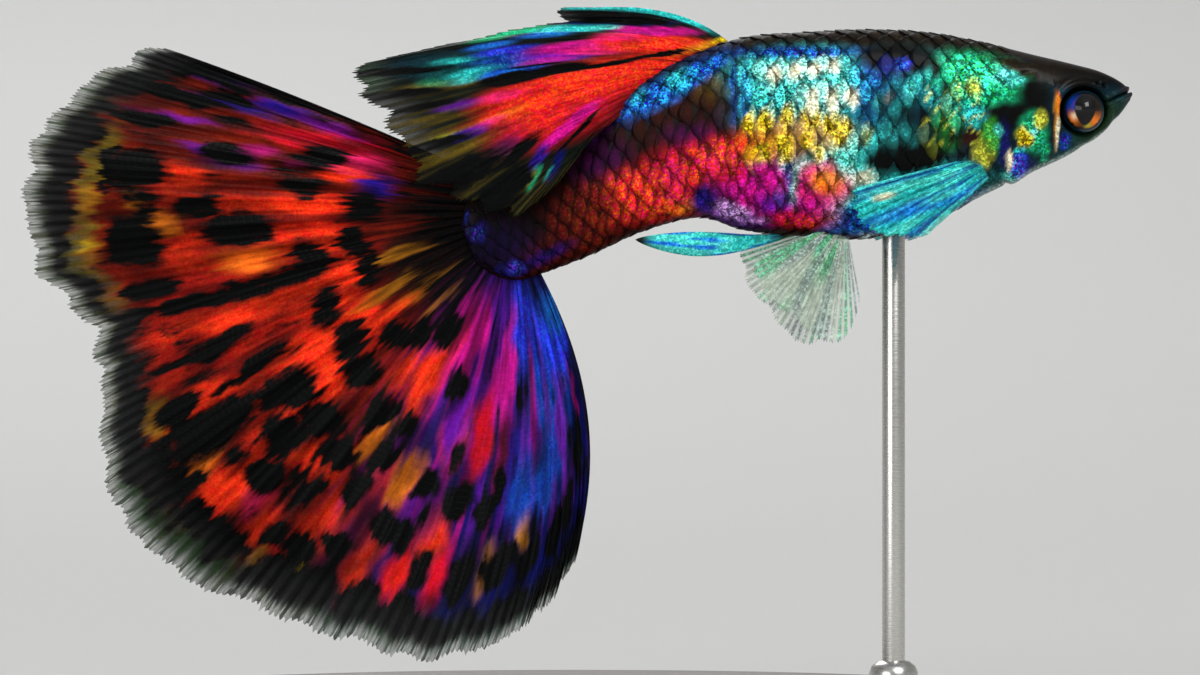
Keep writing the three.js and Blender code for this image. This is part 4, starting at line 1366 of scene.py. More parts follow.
TAIL_HUES = patches(
    0.6,
    ("RUST", 0.4, 0.49, 7.21, 4.7, 0.5), ("SCARLET", 0.4, 0.49, 7.21, 4.7, 0.5, 0.45),
    ("RUST", 0.57, 0.65, 5.01, 3.45, 0.5), ("SCARLET", 0.57, 0.65, 5.01, 3.45, 0.5, 0.3),
    ("RUST", 0.123, 0.44, 4.7, 1.88, 0.5), ("RUST", 0.723, 0.45, 3.76, 2.82, 0.5),
    ("FLAME", 0.21, 0.65, 1.2, 0.76, 0.65), ("ORANGE", 0.273, 0.68, 1.05, 0.51, 0.5),
    ("FLAME", 0.313, 0.66, 1.73, 0.76, 0.65), ("FLAME", 0.253, 0.46, 2.26, 0.51, 0.65),
    ("FLAME", 0.33, 0.43, 1.88, 0.93, 0.65), ("ORANGE", 0.34, 0.51, 1.5, 0.59, 0.6, 0.6),
    ("FLAME", 0.327, 0.31, 0.75, 0.76, 0.65), ("CRIMSON", 0.093, 0.44, 2.07, 0.59, 0.65),
    ("CRIMSON", 0.063, 0.33, 1.65, 0.68, 0.65), ("PINK", 0.117, 0.27, 0.98, 0.59, 0.65),
    ("FLAME", 0.163, 0.29, 0.9, 0.51, 0.65), ("FLAME", 0.25, 0.33, 1.28, 0.59, 0.65),
    ("FLAME", 0.403, 0.32, 0.9, 0.85, 0.65), ("FLAME", 0.48, 0.29, 0.75, 1.1, 0.65),
    ("FLAME", 0.407, 0.45, 2.26, 1.01, 0.65), ("FLAME", 0.41, 0.57, 2.26, 0.59, 0.65),
    ("FLAME", 0.407, 0.7, 2.63, 0.42, 0.65), ("FLAME", 0.56, 0.4, 0.98, 0.76, 0.65),
    ("FLAME", 0.51, 0.41, 1.28, 0.59, 0.65), ("FLAME", 0.503, 0.65, 3.38, 0.34, 0.65),
    ("FLAME", 0.573, 0.55, 1.65, 0.59, 0.65), ("FLAME", 0.54, 0.58, 1.5, 0.42, 0.65),
    ("ORANGE", 0.55, 0.77, 1.2, 0.59, 0.5, 0.7), ("FLAME", 0.587, 0.75, 1.5, 0.85, 0.65),
    ("PINK", 0.623, 0.74, 0.98, 0.68, 0.5, 0.7), ("FLAME", 0.62, 0.57, 0.9, 0.51, 0.65),
    ("FLAME", 0.653, 0.59, 0.9, 0.51, 0.65), ("FLAME", 0.677, 0.73, 1.7, 0.66, 0.65),
    ("FLAME", 0.723, 0.79, 2.1, 0.5, 0.65), ("SCARLET", 0.757, 0.8, 1.7, 0.4, 0.65),
    ("CRIMSON", 0.79, 0.78, 2.0, 0.36, 0.65), ("FLAME", 0.635, 0.78, 1.5, 0.5, 0.65),
    ("SCARLET", 0.66, 0.83, 1.2, 0.42, 0.65, 0.8), ("AMBER", 0.835, 0.76, 1.5, 0.26, 0.65, 0.8),
    ("FLAME", 0.49, 0.74, 1.6, 0.42, 0.65), ("FLAME", 0.717, 0.56, 1.13, 0.59, 0.6, 0.5),
    ("FLAME", 0.65, 0.31, 0.9, 0.38, 0.65), ("FLAME", 0.69, 0.29, 1.5, 0.42, 0.65),
    ("FLAME", 0.693, 0.34, 1.13, 0.42, 0.65), ("ORANGE", 0.677, 0.48, 1.28, 0.38, 0.4),
    ("ORANGE", 0.723, 0.54, 1.28, 0.38, 0.4), ("FLAME", 0.773, 0.67, 1.65, 0.47, 0.65),
    ("FLAME", 0.76, 0.43, 1.28, 0.38, 0.6, 0.7), ("CRIMSON", 0.793, 0.39, 2.26, 0.3),
    ("RUST", 0.827, 0.44, 1.88, 0.22, 0.6, 0.8), ("CRIMSON", 0.71, 0.18, 1.88, 0.25, 0.6, 0.7),
    ("AMBER", 0.867, 0.67, 1.19, 0.28, 0.5), ("GOLD", 0.68, 0.87, 0.5, 0.22, 0.5),
    ("AMBER", 0.65, 0.87, 0.63, 0.25), ("SEPIA", 0.41, 0.11, 2.82, 2.82, 0.5),
    ("RUST", 0.317, 0.17, 1.57, 0.38), ("AMBER", 0.403, 0.17, 1.25, 0.19, 0.6, 0.7),
    ("AMBER", 0.54, 0.15, 1.57, 0.19, 0.6, 0.8), ("AMBER", 0.49, 0.22, 1.57, 0.22, 0.6, 0.7),
    ("FLAME", 0.543, 0.22, 1.28, 0.25, 0.6, 0.7), ("AMBER", 0.613, 0.14, 1.25, 0.16, 0.6, 0.6),
    ("NAVY", 0.843, 0.4, 8.14, 3.45, 0.35), ("INDIGO", 0.723, 0.45, 2.82, 1.07, 0.8, 0.5),
    ("INDIGO", 0.84, 0.3, 6.27, 1.88), ("VIOLET", 0.733, 0.19, 2.82, 0.94),
    ("COBALT", 0.907, 0.34, 5.01, 1.07), ("ELECTRIC", 0.95, 0.21, 1.88, 0.81),
    ("AZURE", 0.987, 0.15, 1.25, 0.69), ("COBALT", 0.893, 0.55, 1.88, 0.63),
    ("COBALT", 0.86, 0.56, 1.88, 0.5), ("ELECTRIC", 0.857, 0.13, 1.88, 0.38, 0.6, 0.8),
    ("INDIGO", 0.19, 0.21, 0.75, 0.63), ("MAGENTA", 0.743, 0.18, 2.19, 0.28, 0.5),
    ("MAGENTA", 0.807, 0.29, 1.88, 0.25, 0.5, 0.8), ("MAGENTA", 0.68, 0.14, 1.88, 0.22, 0.5, 0.8),
    ("PINK", 0.71, 0.23, 1.5, 0.25, 0.6, 0.6), ("VIOLET", 0.757, 0.37, 1.88, 0.28),
    ("VIOLET", 0.76, 0.57, 1.88, 0.44, 0.7, 0.6), ("FLAME", 0.69, 0.29, 1.35, 0.34, 0.5),
    ("CRIMSON", 0.797, 0.4, 2.26, 0.25, 0.5), ("INDIGO", 0.06, 0.65, 2.19, 0.38),
    ("INDIGO", 0.037, 0.55, 1.57, 0.44), ("VIOLET", 0.157, 0.58, 1.57, 0.31, 0.6, 0.9),
    ("MAGENTA", 0.14, 0.5, 0.94, 0.25, 0.6, 0.6), ("VIOLET", 0.043, 0.41, 1.57, 0.38, 0.6, 0.7),
    ("RUST", 0.137, 0.75, 1.57, 0.16, 0.6, 0.8), ("RUST", 0.077, 0.77, 1.88, 0.13, 0.6, 0.8),
    ("INDIGO", 0.18, 0.53, 1.25, 0.31, 0.7, 0.6), ("OLIVE", 0.187, 0.84, 0.69, 1.88, 0.5),
    ("OLIVE", 0.243, 0.86, 0.5, 1.88, 0.5), ("AMBER", 0.247, 0.85, 0.44, 0.69, 0.6, 0.7),
    ("OLIVE", 0.3, 0.89, 0.69, 1.57, 0.5), ("AMBER", 0.297, 0.86, 0.5, 0.56, 0.6, 0.6),
    ("GOLD", 0.29, 0.87, 0.31, 0.25, 0.6, 0.5), ("AMBER", 0.24, 0.73, 0.38, 0.5, 0.6, 0.6),
    ("OLIVE", 0.353, 0.91, 0.81, 0.81, 0.6, 0.7), ("OLIVE", 0.487, 0.85, 0.75, 0.94, 0.5),
    ("AMBER", 0.49, 0.84, 0.56, 0.63, 0.6, 0.7), ("MOSS", 0.547, 0.96, 1.25, 1.57),
    ("MOSS", 0.61, 0.93, 1.25, 1.88), ("INDIGO", 0.02, 0.82, 2.82, 0.5),
    ("VIOLET", 0.11, 0.75, 2.19, 0.25, 0.6, 0.7), ("RUST", 0.107, 0.85, 1.88, 0.19, 0.6, 0.8),
    ("MAGENTA", 0.15, 0.36, 1.25, 0.25, 0.6, 0.6), ("MAGENTA", 0.97, 0.41, 1.88, 0.19, 0.5, 0.7),
    ("VIOLET", 0.873, 0.45, 2.82, 0.25, 0.6, 0.8), ("MAGENTA", 0.823, 0.23, 2.51, 0.22, 0.5, 0.8),
    ("VIOLET", 0.927, 0.43, 2.51, 0.25, 0.6, 0.8),
)

TAIL_INKS = patches(0.6, *(("INK", *spot) for spot in (
    (0.203, 0.74, 1.47, 1.53), (0.293, 0.75, 1.47, 1.53), (0.247, 0.71, 0.7, 0.84, 0.6, 0.8),
    (0.253, 0.59, 1.19, 0.76), (0.29, 0.51, 1.82, 0.84), (0.16, 0.55, 1.58, 0.69),
    (0.13, 0.36, 1.12, 0.99), (0.21, 0.37, 1.05, 0.54), (0.253, 0.23, 0.91, 0.92),
    (0.36, 0.37, 0.84, 1.03), (0.343, 0.27, 0.7, 0.92), (0.417, 0.25, 0.63, 0.99),
    (0.463, 0.37, 0.84, 0.99), (0.543, 0.33, 0.84, 0.84), (0.597, 0.35, 0.84, 0.76),
    (0.59, 0.25, 0.7, 0.54), (0.55, 0.48, 1.19, 0.99), (0.603, 0.49, 0.98, 1.07), (0.65, 0.54, 0.84, 0.84),
    (0.54, 0.53, 1.05, 0.61), (0.383, 0.51, 3.86, 0.57), (0.377, 0.69, 2.81, 0.46),
    (0.443, 0.66, 2.17, 0.57), (0.487, 0.53, 1.75, 0.31), (0.35, 0.78, 1.93, 0.69),
    (0.373, 0.88, 1.4, 0.54), (0.497, 0.57, 3.16, 0.31, 0.6, 0.8), (0.443, 0.8, 2.11, 0.31, 0.6, 0.8),
    (0.53, 0.7, 2.98, 0.99), (0.493, 0.79, 1.4, 0.61), (0.587, 0.58, 1.4, 1.07), (0.607, 0.68, 1.05, 0.92),
    (0.52, 0.86, 1.4, 0.61), (0.47, 0.91, 1.05, 1.15), (0.553, 0.86, 1.19, 1.22),
    (0.583, 0.86, 0.98, 0.84), (0.52, 0.93, 1.26, 0.76), (0.617, 0.87, 1.26, 0.99), (0.65, 0.79, 0.9, 0.5),
    (0.673, 0.81, 1.05, 0.76), (0.56, 0.79, 0.63, 0.38), (0.563, 0.69, 0.7, 0.31, 0.6, 0.7),
    (0.647, 0.65, 0.91, 0.54), (0.66, 0.41, 1.19, 0.42), (0.693, 0.41, 0.91, 0.31, 0.6, 0.8),
    (0.697, 0.5, 0.91, 0.34), (0.623, 0.21, 1.05, 0.34), (0.673, 0.18, 1.19, 0.46),
    (0.737, 0.28, 1.05, 0.27), (0.687, 0.6, 1.05, 0.46), (0.73, 0.67, 1.19, 0.61),
    (0.75, 0.69, 1.19, 0.46), (0.75, 0.54, 0.91, 0.46), (0.787, 0.56, 1.05, 0.54),
    (0.817, 0.59, 1.05, 0.42), (0.83, 0.53, 1.05, 0.23), (0.77, 0.45, 0.84, 0.23, 0.6, 0.8),
    (0.698, 0.76, 0.91, 0.4), (0.74, 0.86, 1.0, 0.5), (0.773, 0.87, 1.1, 0.5), (0.773, 0.76, 1.3, 0.4),
    (0.812, 0.77, 1.54, 0.6), (0.847, 0.76, 1.54, 0.76), (0.883, 0.77, 1.54, 0.61),
    (0.92, 0.76, 1.75, 0.61), (0.963, 0.56, 2.46, 0.46), (0.94, 0.71, 1.75, 0.54), (0.7, 0.89, 1.4, 0.84),
    (0.667, 0.89, 1.26, 0.84), (0.16, 0.91, 1.19, 1.53), (0.227, 0.94, 0.49, 2.29),
    (0.287, 0.94, 0.49, 2.29), (0.347, 0.97, 0.7, 1.53), (0.387, 0.93, 1.05, 0.76),
    (0.43, 0.96, 0.7, 1.15), (0.493, 0.95, 0.84, 0.99), (0.073, 0.79, 3.16, 0.61),
    (0.123, 0.81, 2.11, 0.54), (0.05, 0.69, 2.11, 0.46), (0.013, 0.57, 2.11, 0.31),
    (0.203, 0.81, 0.42, 1.53), (0.03, 0.93, 2.11, 0.54), (0.01, 0.79, 2.46, 0.54),
)))

# Millimetres along the tail fin, and across it at the root and at the margin

TAIL_ALONG = 20.0
TAIL_ACROSS = (6.9, 50.0)


def tail_chart(markings: Sequence[Marking]) -> MarkingChart:
    """Returns a chart of the tail's markings by their share across it."""
    return MarkingChart(markings, 0.03, lambda marking: 1 / mix(*TAIL_ACROSS, max(marking.b - 0.1, 0)))


TAIL_HUE_CHART, TAIL_INK_CHART = tail_chart(TAIL_HUES), tail_chart(TAIL_INKS)


@dataclass
class TailFin(RayedFin):
    """The wide tail fin, a pleated fan round the tail root."""

    root_radius: float = 2.1
    top_turn: float = 3
    bottom_turn: float = 18
    ripples: float = 3.2
    ripple_depth: float = 0.95
    fringe_depth: float = 0.85

    def surface(self, u: float, v: float) -> Vector:
        """Returns the fan's middle surface at a share across and along."""
        angle = along([a for a, _ in TAIL_MARGIN], u)
        reach = along([r for _, r in TAIL_MARGIN], u) + 0.15
        reach -= self.fringe(u, self.fringe_depth) * smooth(0.0, 1.0, v) ** 2
        tip = BODY.rim(angle, reach)
        root = BODY.rim(mix(BODY.paddle_top, BODY.paddle_bottom, u), self.root_radius)
        turn = self.top_turn * (1 - smooth(0, 0.35, u)) + self.bottom_turn * smooth(0.6, 1, u)
        heading = math.radians(angle + turn)
        chord = (tip - root).length * 0.55
        bend = root + Vector((math.cos(heading), 0, math.sin(heading))) * chord
        point = root * (1 - v) ** 2 + bend * (2 * v * (1 - v)) + tip * v**2
        ripple = self.ripple_depth * math.sin(u * self.ripples * TAU + 0.6) * v * v
        pleat = self.fold * math.sin(u * self.rays * TAU) * smooth(0.05, 0.4, v) * (1 - 0.5 * v)
        point.y = mix(BODY.sway(BODY.paddle_x), 0.25, smooth(0, 1, v)) + ripple + pleat
        return point

    def look(self, u: float, v: float, point: Vector) -> FinSpot:
        """Returns the fan's look from its markings."""
        coat = Coat.of(Tint.RUST)
        coat.lay(Tint.NAVY, smooth(0.66, 0.74, u))
        wander = noise.noise(Vector((u * 60, v * 6, 7.0))) * 0.5
        wander += noise.noise(Vector((u * 150, v * 5, 1.0))) * 0.6
        covers = [(marking, self.cover(marking, u, v, wander)) for marking in TAIL_HUE_CHART.near(u)]
        for marking, cover in covers:
            if marking.long >= 2.6:
                coat.lay(marking.tint, cover)
        stripe = noise.noise(Vector((u * 105, v * 1.6, 5.0)))
        lobe = smooth(0.6, 0.72, u) * smooth(0.05, 0.2, v) * (1 - smooth(0.6, 0.8, v))
        coat.lay(Tint.MAGENTA, lobe * 0.6 * smooth(0.12, 0.4, stripe) * (1 - smooth(0.88, 0.95, u)))
        coat.lay(Tint.VIOLET, lobe * 0.5 * smooth(0.05, 0.35, noise.noise(Vector((u * 80, v * 2.0, 9.0)))))
        lit = 0.0
        for marking, cover in covers:
            if marking.long < 2.6 and cover > 0:
                coat.lay(marking.tint, cover)
                lit = max(lit, cover)
        patch = noise.noise(Vector((u * 44, v * 7, 0.5))) + 0.6 * noise.noise(Vector((u * 90, v * 4, 3.5)))
        coat = coat.shade(mix(0.35, 1.1, smooth(-0.45, 0.4, patch)) * (1 - 0.1 * smooth(0.62, 0.72, u)))
        coat.glitter *= 0.4
        edge = smooth(0.93, 0.99, v)
        ink = 0.24 + 0.5 * (1 - smooth(0.04, 0.3, v)) * (1 - 0.7 * smooth(0.64, 0.74, u))
        ink += 0.35 * (1 - smooth(0.0, 0.1, u)) + 0.4 * smooth(0.82, 0.93, v)
        ink += 0.2 * smooth(0.9, 1.0, u) + 0.2 * smooth(0.4, 0.55, u) * smooth(0.5, 0.7, v)
        ink += 0.3 * noise.noise(Vector((u * 36, v * 9, 11.0))) + lobe * 0.28 * smooth(0.1, -0.4, stripe)
        ink += 0.2 * (1 - lit) * smooth(0.15, 0.4, v) * (1 - smooth(0.66, 0.76, u)) - 0.25 * lit
        for marking in TAIL_INK_CHART.near(u):
            ink = max(ink, self.cover(marking, u, v, wander * 0.7) * 0.95)
        coat.lay(Tint.MOSS, smooth(0.88, 0.96, v) * 0.9)
        clear = 0.2 * smooth(0.8, 0.92, v) + 0.5 * smooth(0.93, 1.0, v)
        return FinSpot(coat, ink - 0.7 * edge, clear)

    @staticmethod
    def cover(marking: Marking, u: float, v: float, wander: float) -> float:
        """Returns a marking's cover at a share across and along."""
        aside = 0.3 * noise.noise(Vector((u * 30, v * 16, 3.0)))
        along_it = (v - marking.b) * TAIL_ALONG + wander
        return marking.at(along_it, (u - marking.a) * mix(*TAIL_ACROSS, v) + aside)


DORSAL_RAYS = (
    # root along the stations, tip x and z, lean, bow
    (9.0, -27.0, 4.45, 1.5, 1.0),
    (9.22, -28.4, 3.5, 1.15, 0.75),
    (9.44, -37.7, 1.4, -0.25, 1.3),
    (9.66, -37.0, -0.3, -0.8, 0.9),
    (9.88, -35.4, -2.3, -1.25, 0.5),
    (10.1, -34.2, -4.4, -1.6, 0.35),
    (10.32, -32.0, -5.7, -1.85, 0.3),
    (10.54, -29.6, -6.15, -2.1, 0.3),
    (10.76, -28.0, -4.9, -2.15, 0.25),
)

DORSAL_HUES = patches(
    0.6,
    ("MOSS", -37.07, 0.66, 1.24, 0.83, 0.6, 0.7), ("OLIVE", -32.94, 0.38, 2.2, 0.22, 0.7, 1.0, 8),
    ("SEA_GREEN", -33.22, 0.52, 0.83, 0.22, 0.7, 0.4, 8),
    ("OLIVE", -34.32, -1.41, 2.06, 0.17, 0.7, 0.5, 10), ("OLIVE", -33.22, -2.09, 2.2, 0.19, 0.7, 0.5, 18),
    ("OLIVE", -33.63, -3.33, 2.06, 0.22, 0.7, 0.5, 22), ("OLIVE", -31.84, -2.64, 1.65, 0.17, 0.7, 0.8, 25),
    ("OLIVE", -30.74, -3.74, 1.51, 0.17, 0.7, 0.6, 40), ("STRAW", -32.94, -2.09, 0.83, 0.08, 0.7, 0.4, 18),
    ("CRIMSON", -27.44, -0.99, 3.17, 1.24, 0.5, 0.9, 22),
    ("SCARLET", -26.61, 0.38, 4.4, 0.96, 0.4, 1.0, 13), ("FLAME", -27.71, -0.3, 3.58, 0.41, 0.6, 1.0, 18),
    ("FLAME", -26.06, 0.93, 2.75, 0.41, 0.6, 0.8, 12), ("FLAME", -23.31, 1.21, 2.06, 0.41, 0.6, 0.9, 16),
    ("ORANGE", -29.92, -0.99, 1.24, 0.14, 0.6, 0.5, 20),
    ("SCARLET", -28.26, -1.41, 1.51, 0.55, 0.5, 1.0, 35),
    ("PINK", -30.19, -0.17, 0.96, 0.22, 0.6, 0.7, 10), ("PINK", -30.74, -1.41, 0.69, 0.17, 0.6, 0.8, 22),
    ("INDIGO", -31.98, -2.02, 0.83, 0.22, 0.6, 1.0, 18),
    ("VIOLET", -32.26, -0.58, 0.96, 0.19, 0.7, 0.7, 12),
    ("VIOLET", -31.29, -1.75, 0.55, 0.19, 0.7, 0.8, 20), ("PLUM", -29.92, -2.64, 0.96, 0.41, 0.7, 0.8, 35),
    ("MAGENTA", -26.75, -1.41, 1.51, 0.25, 0.5, 1.0, 42),
    ("MAGENTA", -27.85, -2.37, 0.83, 0.19, 0.6, 1.0, 50),
    ("INDIGO", -28.4, -3.13, 0.69, 0.25, 0.5, 1.0, 60), ("NAVY", -27.58, -3.47, 0.83, 0.19, 0.5, 1.0, 65),
    ("SEA_GREEN", -28.61, -4.09, 0.55, 0.12, 0.6, 0.7, 68),
    ("TURQUOISE", -27.99, -3.88, 0.33, 0.1, 0.6, 0.5, 65),
    ("STRAW", -28.82, -4.16, 0.41, 0.07, 0.7, 0.5, 68), ("PETROL", -32.94, 1.35, 2.75, 0.55, 0.6, 0.8, 4),
    ("DEEP_TEAL", -31.84, 1.21, 2.06, 0.62, 0.6, 1.0, 6),
    ("TURQUOISE", -32.53, 1.55, 0.83, 0.14, 0.7, 0.6, 6),
    ("TURQUOISE", -31.02, 1.07, 1.51, 0.22, 0.6, 0.8, 10),
    ("TURQUOISE", -31.98, 0.59, 0.69, 0.14, 0.7, 0.6, 10),
    ("COBALT", -29.64, 1.07, 1.51, 0.28, 0.5, 1.0, 9), ("AZURE", -30.19, 0.91, 0.83, 0.14, 0.6, 0.7, 10),
    ("COBALT", -28.82, 1.69, 2.61, 0.33, 0.5, 1.0, 6), ("ELECTRIC", -29.92, 2.04, 1.38, 0.17, 0.6, 0.7, 8),
    ("AZURE", -30.74, 2.31, 1.1, 0.14, 0.6, 0.6, 10), ("VIOLET", -27.44, 1.9, 1.93, 0.33, 0.5, 1.0, 6),
    ("MAGENTA", -26.75, 2.24, 1.93, 0.25, 0.5, 1.0, 6), ("PINK", -25.51, 2.1, 1.51, 0.19, 0.6, 0.8, 4),
    ("MAGENTA", -27.99, 1.55, 1.24, 0.14, 0.6, 0.6, 8), ("SCARLET", -23.59, 2.52, 2.2, 0.39, 0.45, 1.0, 2),
    ("FLAME", -22.35, 2.34, 2.06, 0.3, 0.6, 1.0, 2), ("PINK", -24.69, 2.72, 1.1, 0.17, 0.6, 0.8, 2),
    ("MAGENTA", -22.9, 3.07, 2.06, 0.22, 0.4, 1.0, -2),
    ("TURQUOISE", -27.03, 3.14, 2.06, 0.22, 0.4, 1.0, 4),
    ("SEA_GREEN", -29.92, 2.93, 1.65, 0.17, 0.5, 0.9, 12), ("AQUA", -25.51, 3.2, 0.83, 0.12, 0.6, 0.8, 2),
    ("AZURE", -27.99, 2.86, 1.24, 0.11, 0.6, 0.6, 5), ("NAVY", -24.96, 3.69, 3.3, 0.36, 0.4, 1.0, -1),
    ("GOLD", -19.25, 2.79, 0.41, 0.14, 0.5, 1.0, 25), ("GOLD", -20.15, 2.45, 0.96, 0.11, 0.6, 0.8, 22),
    ("ORANGE", -20.97, 2.24, 0.96, 0.14, 0.6, 0.8, 18),
)

DORSAL_INKS = patches(0.8, *(("INK", *spot) for spot in (
    (-24.96, 3.76, 3.17, 0.33, 0.4, 1.0, -2), (-27.3, 1.07, 4.05, 0.12, 0.6, 1.0, 9.8),
    (-29.64, 0.69, 1.79, 0.28, 0.6, 1.0, 9.8), (-27.44, 1.14, 1.65, 0.21, 0.6, 1.0, 9.8),
    (-22.62, 1.9, 1.51, 0.1, 0.6, 1.0, 10), (-35.01, 1.07, 2.75, 0.17, 0.8, 0.8, 4),
    (-35.01, -0.03, 2.48, 0.19, 0.8, 0.8, 6), (-34.32, -0.72, 2.2, 0.19, 0.8, 0.8, 10),
    (-33.91, -2.64, 2.2, 0.22, 0.8, 1.0, 16), (-32.26, -4.02, 2.34, 0.69, 0.8, 1.0, 25),
    (-30.19, -4.85, 1.79, 0.69, 0.8, 1.0, 45), (-29.5, -3.19, 0.83, 0.19, 0.8, 0.8, 45),
    (-26.48, -1.82, 1.51, 0.11, 0.7, 0.8, 48), (-28.82, 1.28, 1.38, 0.08, 0.8, 0.8, 7),
    (-27.16, 2.59, 1.65, 0.07, 0.8, 0.6, 5), (-29.3, -2.8, 1.3, 0.32, 0.7, 0.85, 42),
)))


@dataclass
class DorsalFin(RayedFin):
    """The long dorsal fin, which sweeps back and hangs over the near flank."""

    sink: float = 0.7
    fringe_depth: float = 1.2

    def surface(self, u: float, v: float) -> Vector:
        """Returns the fin's middle surface at a share across and along."""
        place, tip_x, tip_z, lean, bow = (along([ray[i] for ray in DORSAL_RAYS], u) for i in range(5))
        root = BODY.point(place, 0.0, -self.sink)
        across = Vector((tip_x - root.x, 0, tip_z - root.z))
        across *= 1 + (0.35 - self.fringe(u, self.fringe_depth)) * smooth(0.0, 1.0, v) ** 2 / across.length
        raised = Vector((across.z, 0, -across.x)).normalized() * bow
        point = root + across * v + raised * math.sin(math.pi * v**0.8)
        pleat = self.fold * math.sin(u * self.rays * TAU) * smooth(0.05, 0.4, v) * (1 - 0.5 * v)
        point.y = root.y + (lean - root.y * 0.4) * smooth(0, 0.55, v) + pleat
        return point

    def look(self, u: float, v: float, point: Vector) -> FinSpot:
        """Returns the fin's look from its markings."""
        coat = Coat.of(Tint.SMOKE)
        wander = noise.noise(Vector((u * 50, v * 5, 2.0))) * 0.2
        x, z = point.x + wander, point.z + wander * 0.4
        for marking in DORSAL_HUES:
            cover = marking.at(x - marking.a, z - marking.b)
            if cover > 0:
                coat.lay(marking.tint, cover)
        ink = max(marking.at(x - marking.a, z - marking.b) for marking in DORSAL_INKS)
        rim = (1 - smooth(0.02, 0.05, u)) * smooth(0.1, 0.3, v)
        coat.lay(Tint.TURQUOISE, rim)
        coat.lay(Tint.OLIVE, 0.35 * self.crest(u, v) * smooth(0.62, 0.8, v) * smooth(0.35, 0.5, u))
        clear = 0.05 + 0.3 * smooth(0.85, 1.0, v)
        return FinSpot(coat, ink * (1 - rim) + 0.15, clear)


@dataclass
class FanFin(RayedFin):
    """A paired fin: a small clear fan from one root on the flank or belly."""

    root: tuple[float, float, float] = (-7.3, 2.0, -3.6)
    angles: tuple[float, float] = (195, 222)
    lengths: tuple[float, ...] = (6.3, 6.75, 6.7, 6.2, 5.3, 4.4)
    tilt: float = 15
    spread: float = 1.2
    side: int = -1
    fringe_depth: float = 0.4
    tints: tuple[Tint, Tint, Tint] = (Tint.TURQUOISE, Tint.AQUA, Tint.COBALT)
    clearness: float = 0.35
    painted_highlights: tuple[Marking, ...] = ()

    def surface(self, u: float, v: float) -> Vector:
        """Returns the fan's middle surface at a share across and along."""
        x, y, z = self.root
        angle = math.radians(mix(*self.angles, u))
        lean = math.radians(sum(self.angles) / 2 + 90)
        distance = v * (along(self.lengths, u) - self.fringe(u, self.fringe_depth))
        width = self.spread * (u - 0.5)
        pleat = self.fold * math.sin(u * self.rays * TAU) * smooth(0.1, 0.5, v)
        out = y + distance * math.sin(math.radians(self.tilt)) + 0.12 * math.sin(u * 9) * v + pleat
        px = x + distance * math.cos(angle) + width * math.cos(lean)
        pz = z + distance * math.sin(angle) + width * math.sin(lean)
        return Vector((px, self.side * out, pz))

    def look(self, u: float, v: float, point: Vector) -> FinSpot:
        """Returns the fan's look: a glittering membrane that clears towards its edge."""
        base, light, deep = self.tints
        coat = Coat.of(base)
        coat.lay(deep, 0.8 * smooth(0.0, 0.3, noise.noise(Vector((u * 5, v * 1.4, 4.0)))))
        coat.lay(light, 0.9 * smooth(0.05, 0.35, noise.noise(Vector((u * 8, v * 1.6, 9.0)))))
        coat.lay(light, 0.8 * (1 - smooth(0.0, 0.05, u)) * smooth(0.1, 0.3, v))
        # Painted highlights, laid over the membrane as colour.
        for marking in self.painted_highlights:
            coat.lay(marking.tint, marking.at(point.x - marking.a, point.z - marking.b))
        clear = self.clearness * (0.55 + 0.45 * v) + 0.3 * smooth(0.7, 1.0, u)
        clear += 0.6 * (1 - smooth(0.03, 0.16, v))
        return FinSpot(coat, 0.0, clear)


@dataclass
class Gonopodium:
    """The male's anal fin: a slim flattened rod that points back under the belly."""

    root: tuple[float, float] = (-15.9, -6.6)
    middle: tuple[float, float] = (-18.9, -7.55)
    tip: tuple[float, float] = (-23.8, -6.98)
    radius: float = 0.56
    sides: int = 28
    rings: int = 60

    def girth(self, share: float) -> float:
        """Returns the rod's half height at a share of its length."""
        return self.radius * math.sin(math.pi * min(1.0, share) ** 1.6) ** 0.7

    def build(self) -> bpy.types.Object:
        """Returns the rod, closed at both ends."""
        mesh = bmesh.new()
        hue = mesh.verts.layers.float_color.new("hue")
        shine = mesh.verts.layers.float.new("shine")
        a, b, c = (
            Vector((x, BODY.sway(x) * share, z))
            for (x, z), share in ((self.root, 1), (self.middle, 1), (self.tip, 0.6))
        )
        for vert, (u, v) in grid(mesh, self.rings, self.sides).items():
            turn = v * TAU
            end = u < 1e-4 or u > 1 - 1e-4
            centre = a * (1 - u) ** 2 + b * (2 * u * (1 - u)) + c * u**2
            tall = 0.0 if end else max(0.07, self.girth(u)) * (1 + 0.07 * math.cos(turn * 4 + u * 9))
            wide = tall * 0.45
            vert.co = world(centre + Vector((0, math.sin(turn) * wide, math.cos(turn) * tall)))
            coat = Coat.of(Tint.AQUA)
            band = noise.noise(Vector((u * 4, math.cos(turn) * 2.5, 0)))
            coat.lay(Tint.AZURE, smooth(0.0, 0.35, band))
            coat.lay(Tint.TURQUOISE, smooth(0.0, 0.3, -band))
            coat.lay(Tint.MOSS, 1 - smooth(0.1, 0.3, u))
            coat.lay(Tint.SMOKE, smooth(0.88, 0.97, u))
            vert[hue] = coat.colour
            vert[shine] = coat.glitter * 0.45
        bmesh.ops.remove_doubles(mesh, verts=mesh.verts[:], dist=2e-6)
        bmesh.ops.recalc_face_normals(mesh, faces=mesh.faces[:])
        finish = SkinFinish("gonopodium_skin", roughness=0.3, cell_size=12000).build()
        made = finish_object(mesh, "gonopodium_rod", finish)
        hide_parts("gonopodium")
        return made


# Stand


def grown_parts(grown: Sequence) -> tuple[list[bmesh.types.BMVert], list[bmesh.types.BMEdge]]:
    """Returns the new vertices of an extruded loop, and the edges that join them."""
    verts = [v for v in grown if isinstance(v, bmesh.types.BMVert)]
    new = set(verts)
    return verts, [e for e in grown if isinstance(e, bmesh.types.BMEdge) and all(v in new for v in e.verts)]


